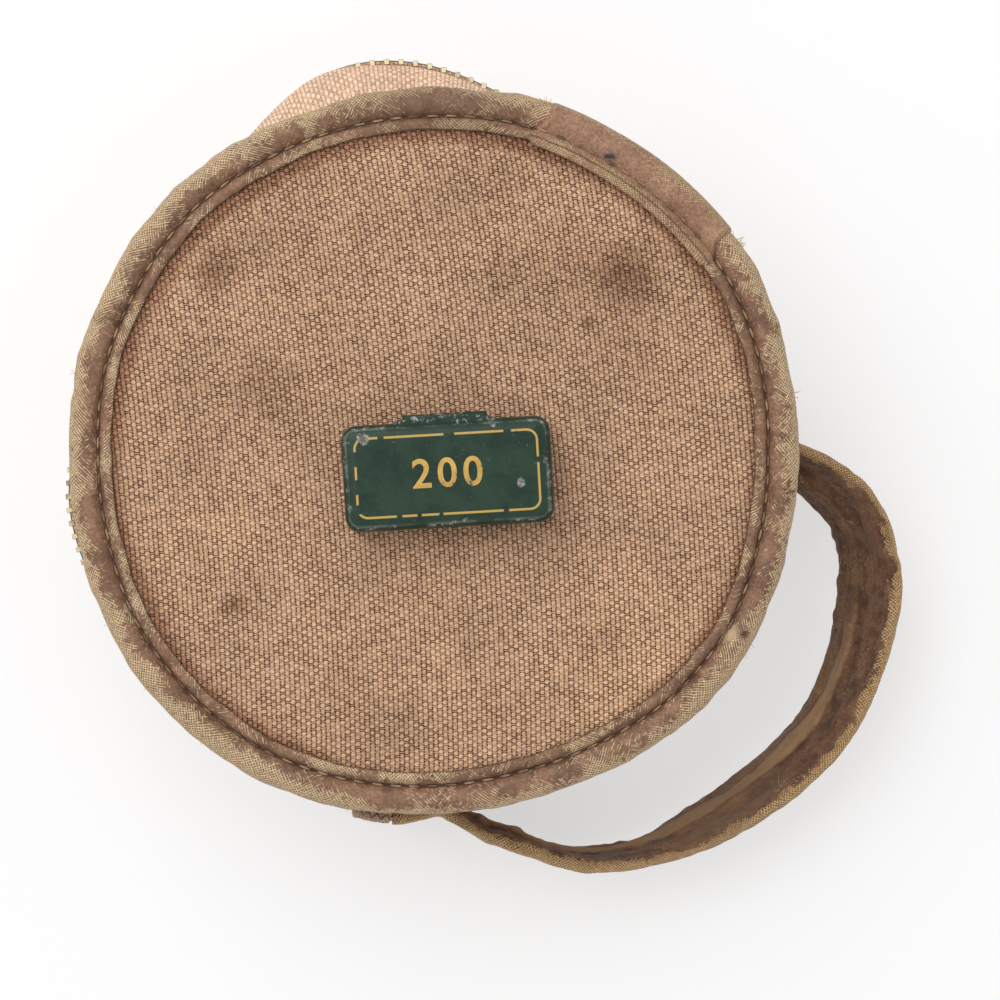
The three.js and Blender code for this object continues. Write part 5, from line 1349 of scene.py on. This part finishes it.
paintGone = [(-12.0, 7.35, 0.7), (0.7, 7.35, 1.3), (11.4, 7.35, 0.9), (-9.3, -7.35, 0.6), (-5.5, -7.35, 0.5),
             (-1.6, -7.35, 0.5), (10.5, -7.35, 0.6), (16.9, 1.7, 0.6), (-16.9, 3.6, 1.6), (-16.9, -1.6, 1.5),
             (-16.6, -5.8, 1.1)]
paintScuffs = [(-15.2, 7.3, 2.0), (13.6, -2.4, 1.5), (3.0, -8.9, 1.2), (-18.6, -5.5, 1.4), (18.7, 1.5, 1.3),
               (9.0, 9.1, 1.3)]
lineInset = 2.5
lineCorner = 4.4
tinSeam = 4.4


def tin_paint():
    material, tree, shader, xyz = new_material("tin_paint")
    local = spun(tree, vector_calc(tree, "SUBTRACT", xyz, tinCentre)[0], -tinTurn)
    axes = axes_of(tree, local)

    def inset_from_edge(corner):
        reaches = [calc(tree, "SUBTRACT", calc(tree, "ABSOLUTE", axes[i]), (half - corner) * mm)
                   for i, half in enumerate((tinHalfLong, tinHalfWide))]
        squares = [calc(tree, "POWER", calc(tree, "MAXIMUM", reach, 0.0), 2.0) for reach in reaches]
        outside = calc(tree, "SQRT", calc(tree, "ADD", *squares))
        inside = calc(tree, "MINIMUM", calc(tree, "MAXIMUM", *reaches), 0.0)
        return calc(tree, "SUBTRACT", corner * mm, calc(tree, "ADD", outside, inside))

    def spots_of(places):
        """Small round places on the top, given along and across the tin."""
        found = 0.0
        for along, across, radius in places:
            found = calc(tree, "MAXIMUM", found, round_spot_at(tree, local, (along, across, tinTop), radius))
        return found

    inset = inset_from_edge(tinCorner)
    ragged = grains(tree, xyz, 900.0, 5.0, 0.7)
    patchy = grains(tree, xyz, 160.0, 5.0, 0.65)
    top = ramp(tree, axes[2], 8.2 * mm, 8.9 * mm)
    off = apart(tree, inset_from_edge(lineCorner), lineInset * mm)
    line = calc(tree, "MULTIPLY", ramp(tree, off, 0.16 * mm, 0.26 * mm, 1.0, 0.0), top)
    gone = ramp(tree, calc(tree, "MULTIPLY_ADD", ragged, 0.5, spots_of(paintGone)), 0.50, 0.62)
    kept = ramp(tree, calc(tree, "MULTIPLY_ADD", ragged, 0.35, patchy), 0.46, 0.54)
    line = calc(tree, "MULTIPLY", line, calc(tree, "MULTIPLY", kept, calc(tree, "SUBTRACT", 1.0, gone)))
    edge = calc(tree, "MULTIPLY", ramp(tree, inset, 0.2 * mm, 1.9 * mm, 1.0, 0.0),
                ramp(tree, axes[2], 7.4 * mm, 8.6 * mm))
    low_edge = ramp(tree, apart(tree, axes[2], tinSeam * mm), 0.15 * mm, 0.7 * mm, 0.7, 0.0)
    chance = calc(tree, "MULTIPLY_ADD", ragged, 0.55, calc(tree, "MULTIPLY", patchy, 0.45))
    worn = calc(tree, "MULTIPLY_ADD", calc(tree, "MAXIMUM", edge, low_edge), 0.17, chance)
    scuffs = ramp(tree, calc(tree, "MULTIPLY", spots_of(paintScuffs), ragged), 0.26, 0.42)
    bare = calc(tree, "MAXIMUM", ramp(tree, worn, 0.64, 0.70), scuffs)
    tint = mixed(tree, ramp(tree, patchy, 0.36, 0.62), written(22, 45, 33), written(36, 59, 45))
    rubbed = ramp(tree, inset, 0.2 * mm, 2.2 * mm, 0.5, 0.0)
    tint = mixed(tree, calc(tree, "MULTIPLY", rubbed, top), tint, written(58, 70, 62))
    glint = ramp(tree, apart(tree, inset, 0.75 * mm), 0.1 * mm, 0.4 * mm, 0.5, 0.0)
    glint = calc(tree, "MULTIPLY", calc(tree, "MULTIPLY", glint, top), ramp(tree, patchy, 0.40, 0.58))
    tint = mixed(tree, glint, tint, written(142, 152, 142))
    tint = mixed(tree, line, tint, written(190, 158, 84))
    metal = mixed(tree, ramp(tree, ragged, 0.35, 0.65), written(72, 74, 70), written(146, 146, 140))
    tint = mixed(tree, bare, tint, metal)
    specks = ramp(tree, grains(tree, xyz, 1500.0, 3.0, 0.6), 0.66, 0.72, 0.0, 0.7)
    tint = mixed(tree, specks, tint, written(96, 96, 82))
    rough = ramp(tree, calc(tree, "MULTIPLY_ADD", patchy, 0.5, bare), 0.1, 0.9, 0.30, 0.52)
    rise = calc(tree, "MULTIPLY_ADD", bare, -1.0, calc(tree, "MULTIPLY", ragged, 0.25))
    finished(tree, shader, tint, rough, (rise, 0.05 * mm, 0.8),
             {"Metallic": calc(tree, "MULTIPLY", bare, 0.8), "Specular IOR Level": 0.22})
    return material


def tin_dent(vertex):
    """A shallow dent near the right end of the top."""
    x, y, z = vertex.co / mm
    if z > 8.6:
        vertex.co.z -= 0.28 * math.exp(-((x - 13.6) ** 2 + (y + 2.4) ** 2) / 2.2) * mm


tinPaint = tin_paint()
tinLidProfile = [
    (9.85, 8.8), (5.0, 8.8), (3.0, 8.8), (2.0, 8.78), (1.1, 8.55), (0.6, 8.1), (0.4, 7.3), (0.4, 4.3),
    (-0.05, 4.38), (-0.1, 4.6), (-0.06, 4.85), (0, 5.1), (0, 6.0), (0.02, 7.0), (0.12, 7.6), (0.35, 8.1),
    (0.7, 8.5), (1.1, 8.8), (1.6, 9.02), (2.1, 9.14), (2.6, 9.19), (3.2, 9.2), (4.0, 9.2), (5.5, 9.2),
    (7.5, 9.2), (9.85, 9.2),
]
tinLid = pressed("tin_lid_shell", tinLidProfile, tin_dent)
leaf = block((-2.8, 9.7, 4.45), (2.8, 10.6, 4.95), 0.12, tinPlace)
lip = block((-10.2, 8.6, 7.2), (10.2, 11.05, 8.25), 0.4)
choose(lip)
cut_across((-6.0, 6.0))
for vertex in lip.data.vertices:
    if abs(vertex.co.x) > 8 * mm:
        vertex.co.y = 8.6 * mm + (vertex.co.y - 8.6 * mm) * 0.5
lip.data.transform(tinPlace)
piece = joined("tin_lid_shell", tinLid, leaf, lip, knuckle(-0.18, 0.18))
dress(piece, "tin_lid", "tin_paint", tinPaint, "tin_lid")

tinBaseProfile = [
    (9.85, 0.4), (5.0, 0.4), (2.0, 0.4), (1.1, 0.55), (0.6, 0.9), (0.4, 1.4), (0.4, 3.5), (1.1, 4.1),
    (1.1, 6.95), (0.9, 7.02), (0.7, 6.9), (0.7, 4.15), (0.15, 3.95), (0, 3.8), (0, 1.3), (0.12, 0.7),
    (0.45, 0.25), (1.0, 0.04), (1.8, 0), (5.0, 0), (9.85, 0),
]
tinBase = pressed("tin_base_shell", tinBaseProfile)
leaves = [block((x - 2.3, 9.7, 3.35), (x + 2.3, 10.6, 3.85), 0.12, tinPlace) for x in (-5.6, 5.6)]
piece = joined("tin_base_shell", tinBase, *leaves, knuckle(-0.5, -0.18), knuckle(0.18, 0.5))
dress(piece, "tin", "tin_paint", tinPaint, "tin_base")


# The number of needles stands on the tin's lid in the same gold paint as the line. Its plain
# figures are a thin printed layer, worn through in places to the green.
def gold_paint():
    material, tree, shader, xyz = new_material("gold_paint")
    patchy = grains(tree, xyz, 420.0, 5.0, 0.7)
    worn = ramp(tree, patchy, 0.60, 0.66)
    tint = mixed(tree, ramp(tree, patchy, 0.35, 0.6), written(204, 164, 76), written(182, 142, 62))
    tint = mixed(tree, worn, tint, written(54, 76, 60))
    finished(tree, shader, tint, ramp(tree, worn, 0.0, 1.0, 0.42, 0.6), (patchy, 0.03 * mm, 0.6))
    return material


deselect()
bpy.ops.object.text_add()
number = bpy.context.object
number.data.body = "200"
number.data.size = 7.6 * mm
number.data.space_character = 1.25
number.data.align_x = "CENTER"
number.data.align_y = "CENTER"
number.data.extrude = 0.02 * mm
number.data.offset = 0.10 * mm
bpy.ops.object.convert(target="MESH")
number.name = number.data.name = "tin_number"
number.data.transform(tinPlace @ Matrix.Translation((0, 0, 9.21 * mm)))
dress(number, "tin_lid", "tin_paint", gold_paint())

bareTin = worn_metal("bare_tin", written(168, 164, 152), written(110, 102, 90), 0.32, 0.55, 300.0)
ease(0.06, "tin", "bare_tin", bareTin, tin_hinge_pin="tin_pin")


# The needles lie loose in the tin. They are hardened steel, each drawn down to a point, and have
# dulled a little in patches.
steel = worn_metal("turned_steel", written(150, 150, 150), written(104, 98, 92), 0.24, 0.46, 120.0, 0.5)
ease(0.05, "tin", "steel", steel, needles="needle_set")


# The machine's case is two pressed pans of nickel-plated brass, hinged at one side. The plating
# is bright, with fine rubbing marks and yellowish bloom. A spring catch at the other side holds it.
nickelPlate = worn_metal("nickel_plate", written(206, 200, 184), written(166, 154, 130), 0.18, 0.42, 38.0,
                         0.6)
ease(0.2, "bag_base", "nickel", nickelPlate, case_base="case_base_pan")
ease(0.2, "case_lid", "nickel", nickelPlate, case_lid="case_lid_pan")
ease(0.25, "catch_button", "nickel", nickelPlate, catch_button="catch")
ease(0.1, "bag_base", "steel", steel, case_hinge_pin="case_pin")


# The motor hangs under a nickelled top plate on three brass pillars, with a brass plate below.
# Two small brass brackets hold the ends of the governor's shaft.
brass = worn_metal("lacquered_brass", written(196, 160, 88), written(150, 116, 62), 0.24, 0.45, 55.0, 0.5)
ease(0.12, "bag_base", "nickel", nickelPlate, motor_plate="motor_top_plate")
ease(0.12, "bag_base", "brass", brass, motor_base_plate="motor_lower_plate", pillar_1="plate_pillar_1",
     pillar_2="plate_pillar_2", pillar_3="plate_pillar_3", governor_bracket_front="bracket_front",
     governor_bracket_back="bracket_back")


# The spring barrel is a brass drum with teeth cut round it and a pressed-on cover. The mainspring,
# a long strip of blued steel, is coiled inside it round the steel winding arbor.
blueSteel = worn_metal("blued_steel", written(66, 76, 104), written(46, 44, 52), 0.22, 0.4, 160.0, 0.4)
ease(0.1, "barrel", "brass", brass, spring_barrel="barrel_drum", barrel_cover="barrel_lid")
ease(0.04, "barrel", "blue_steel", blueSteel, mainspring="main_spring")
ease(0.1, "bag_base", "steel", steel, winding_arbor="arbor", ratchet_wheel="ratchet", click="ratchet_click")
ease(0.05, "bag_base", "blue_steel", blueSteel, click_spring="ratchet_spring")


# The train: the barrel drives the second wheel, which drives the turntable's spindle. A worm wheel
# on the spindle turns the governor, whose three balls fly out on springs and rub a disc.
ease(0.08, "second_wheel", "steel", steel, second_arbor="second_wheel_arbor")
ease(0.08, "second_wheel", "brass", brass, second_wheel="second_wheel_disc")
ease(0.08, "turntable", "steel", steel, spindle="turntable_spindle")
ease(0.08, "turntable", "brass", brass, worm_wheel="spindle_worm_wheel")
ease(0.08, "governor", "steel", steel, governor_worm="governor_shaft")
ease(0.08, "governor", "brass", brass, governor_balls="governor_ball_set",
     governor_disc="governor_brake_disc")


# The turntable is a small nickelled dish with a ring of green felt glued on. The record rests on
# the felt, and the dish's raised middle goes into the record's hole.
def felt_material():
    material, tree, shader, xyz = new_material("green_felt")
    fluff = grains(tree, xyz, 1400.0, 5.0, 0.75)
    rubbed = grains(tree, xyz, 90.0, 4.0, 0.6)
    tint = mixed(tree, fluff, written(26, 50, 32), written(70, 104, 72))
    tint = mixed(tree, ramp(tree, rubbed, 0.5, 0.75, 0.0, 0.5), tint, written(96, 118, 88))
    finished(tree, shader, tint, ramp(tree, rubbed, 0.3, 0.7, 0.98, 0.88), (fluff, 0.2 * mm, 0.9),
             {"Sheen Weight": 0.4})
    return material


ease(0.1, "turntable", "nickel", nickelPlate, turntable_hub="turntable_dish")
feltOutline = [
    (3.85, 26.42), (8, 26.4), (13, 26.4), (18.2, 26.42), (18.45, 26.7), (18.45, 27.0), (18.2, 27.25),
    (17.2, 27.3), (13, 27.3), (8, 27.3), (4.5, 27.3), (4.0, 27.2), (3.85, 26.9),
]


def felt_shift(radius, height, turn, step):
    fuzz = 0.06 * ripple(radius, height, turn, 1.5, 51.0)
    return radius + np.where(radius > 18, fuzz, 0), height + np.where(height > 27.1, fuzz, 0), turn


piece = swept("felt_ring", feltOutline, 120, shift=felt_shift, reference=12.0)
dress(piece, "turntable", "felt", felt_material(), "turntable_felt")


# The tone arm and the sound box are nickelled. The sound box holds a disc of mica between rubber
# rings, and the stylus bar carries the needle's shake to the middle of it.
def mica_material():
    material, tree, shader, xyz = new_material("mica_sheet")
    flakes = wire(tree, "ShaderNodeTexVoronoi", {"Vector": xyz, "Scale": 260.0}).outputs[0]
    clouds = grains(tree, xyz, 130.0, 4.0, 0.6)
    finished(tree, shader, mixed(tree, clouds, written(196, 178, 134), written(150, 128, 88)),
             ramp(tree, clouds, 0.3, 0.7, 0.10, 0.24), (flakes, 0.02 * mm, 0.4),
             {"Alpha": ramp(tree, flakes, 0.0, 1.0, 0.55, 0.75)})
    return material


ease(0.15, "bag_base", "nickel", nickelPlate, tone_arm_post="tone_arm_foot")
ease(0.15, "tone_arm", "nickel", nickelPlate, tone_arm="tone_arm_tube", sound_box="sound_box_shell",
     stylus_bar="needle_bar")
ease(0.15, "brake_lever", "nickel", nickelPlate, brake_lever="brake")
ease(0.15, "bag_base", "nickel", nickelPlate, crank="winding_crank", crank_clip_inner="clip_inner",
     crank_clip_outer="clip_outer")
ease(0.04, "tone_arm", "mica", mica_material(), diaphragm="mica_disc")


# The crank's knob is turned from wood and polished black, worn brown where the fingers hold it.
# It turns freely on the end of the crank.
def knob_material():
    material, tree, shader, xyz = new_material("black_wood")
    drawn = wire(tree, "ShaderNodeMapping", {"Vector": xyz, "Scale": (1, 1, 0.12)}).outputs[0]
    fibre = grains(tree, drawn, 1600.0, 4.0, 0.6)
    worn = ramp(tree, grains(tree, xyz, 260.0, 4.0, 0.6), 0.52, 0.72, 0.0, 0.7)
    tint = mixed(tree, fibre, written(24, 18, 15), written(52, 38, 30))
    tint = mixed(tree, worn, tint, written(96, 66, 44))
    finished(tree, shader, tint, ramp(tree, worn, 0.0, 0.7, 0.22, 0.5), (fibre, 0.04 * mm, 0.5),
             {"Coat Weight": 0.3})
    return material


ease(0.2, "crank_knob", "black_wood", knob_material(), crank_knob="knob")


# The resonator is a shallow bowl and cone of black celluloid, stowed in the case's lid. It is
# polished, with faint brown clouds and fine scratches.
def celluloid_material():
    material, tree, shader, xyz = new_material("celluloid")
    clouds = ramp(tree, grains(tree, xyz, 75.0, 5.0, 0.7), 0.45, 0.65)
    scratches = scratched(tree, xyz, 8, 0.5, 0.6)
    tint = mixed(tree, clouds, written(26, 22, 21), written(62, 40, 28))
    finished(tree, shader, tint, calc(tree, "MULTIPLY_ADD", scratches, 0.3, 0.14),
             (scratches, 0.03 * mm, -0.4), {"Coat Weight": 0.2})
    return material


ease(0.12, "case_lid", "celluloid", celluloid_material(), resonator_bowl="bowl", resonator_cone="cone")


bpy.context.view_layer.update()
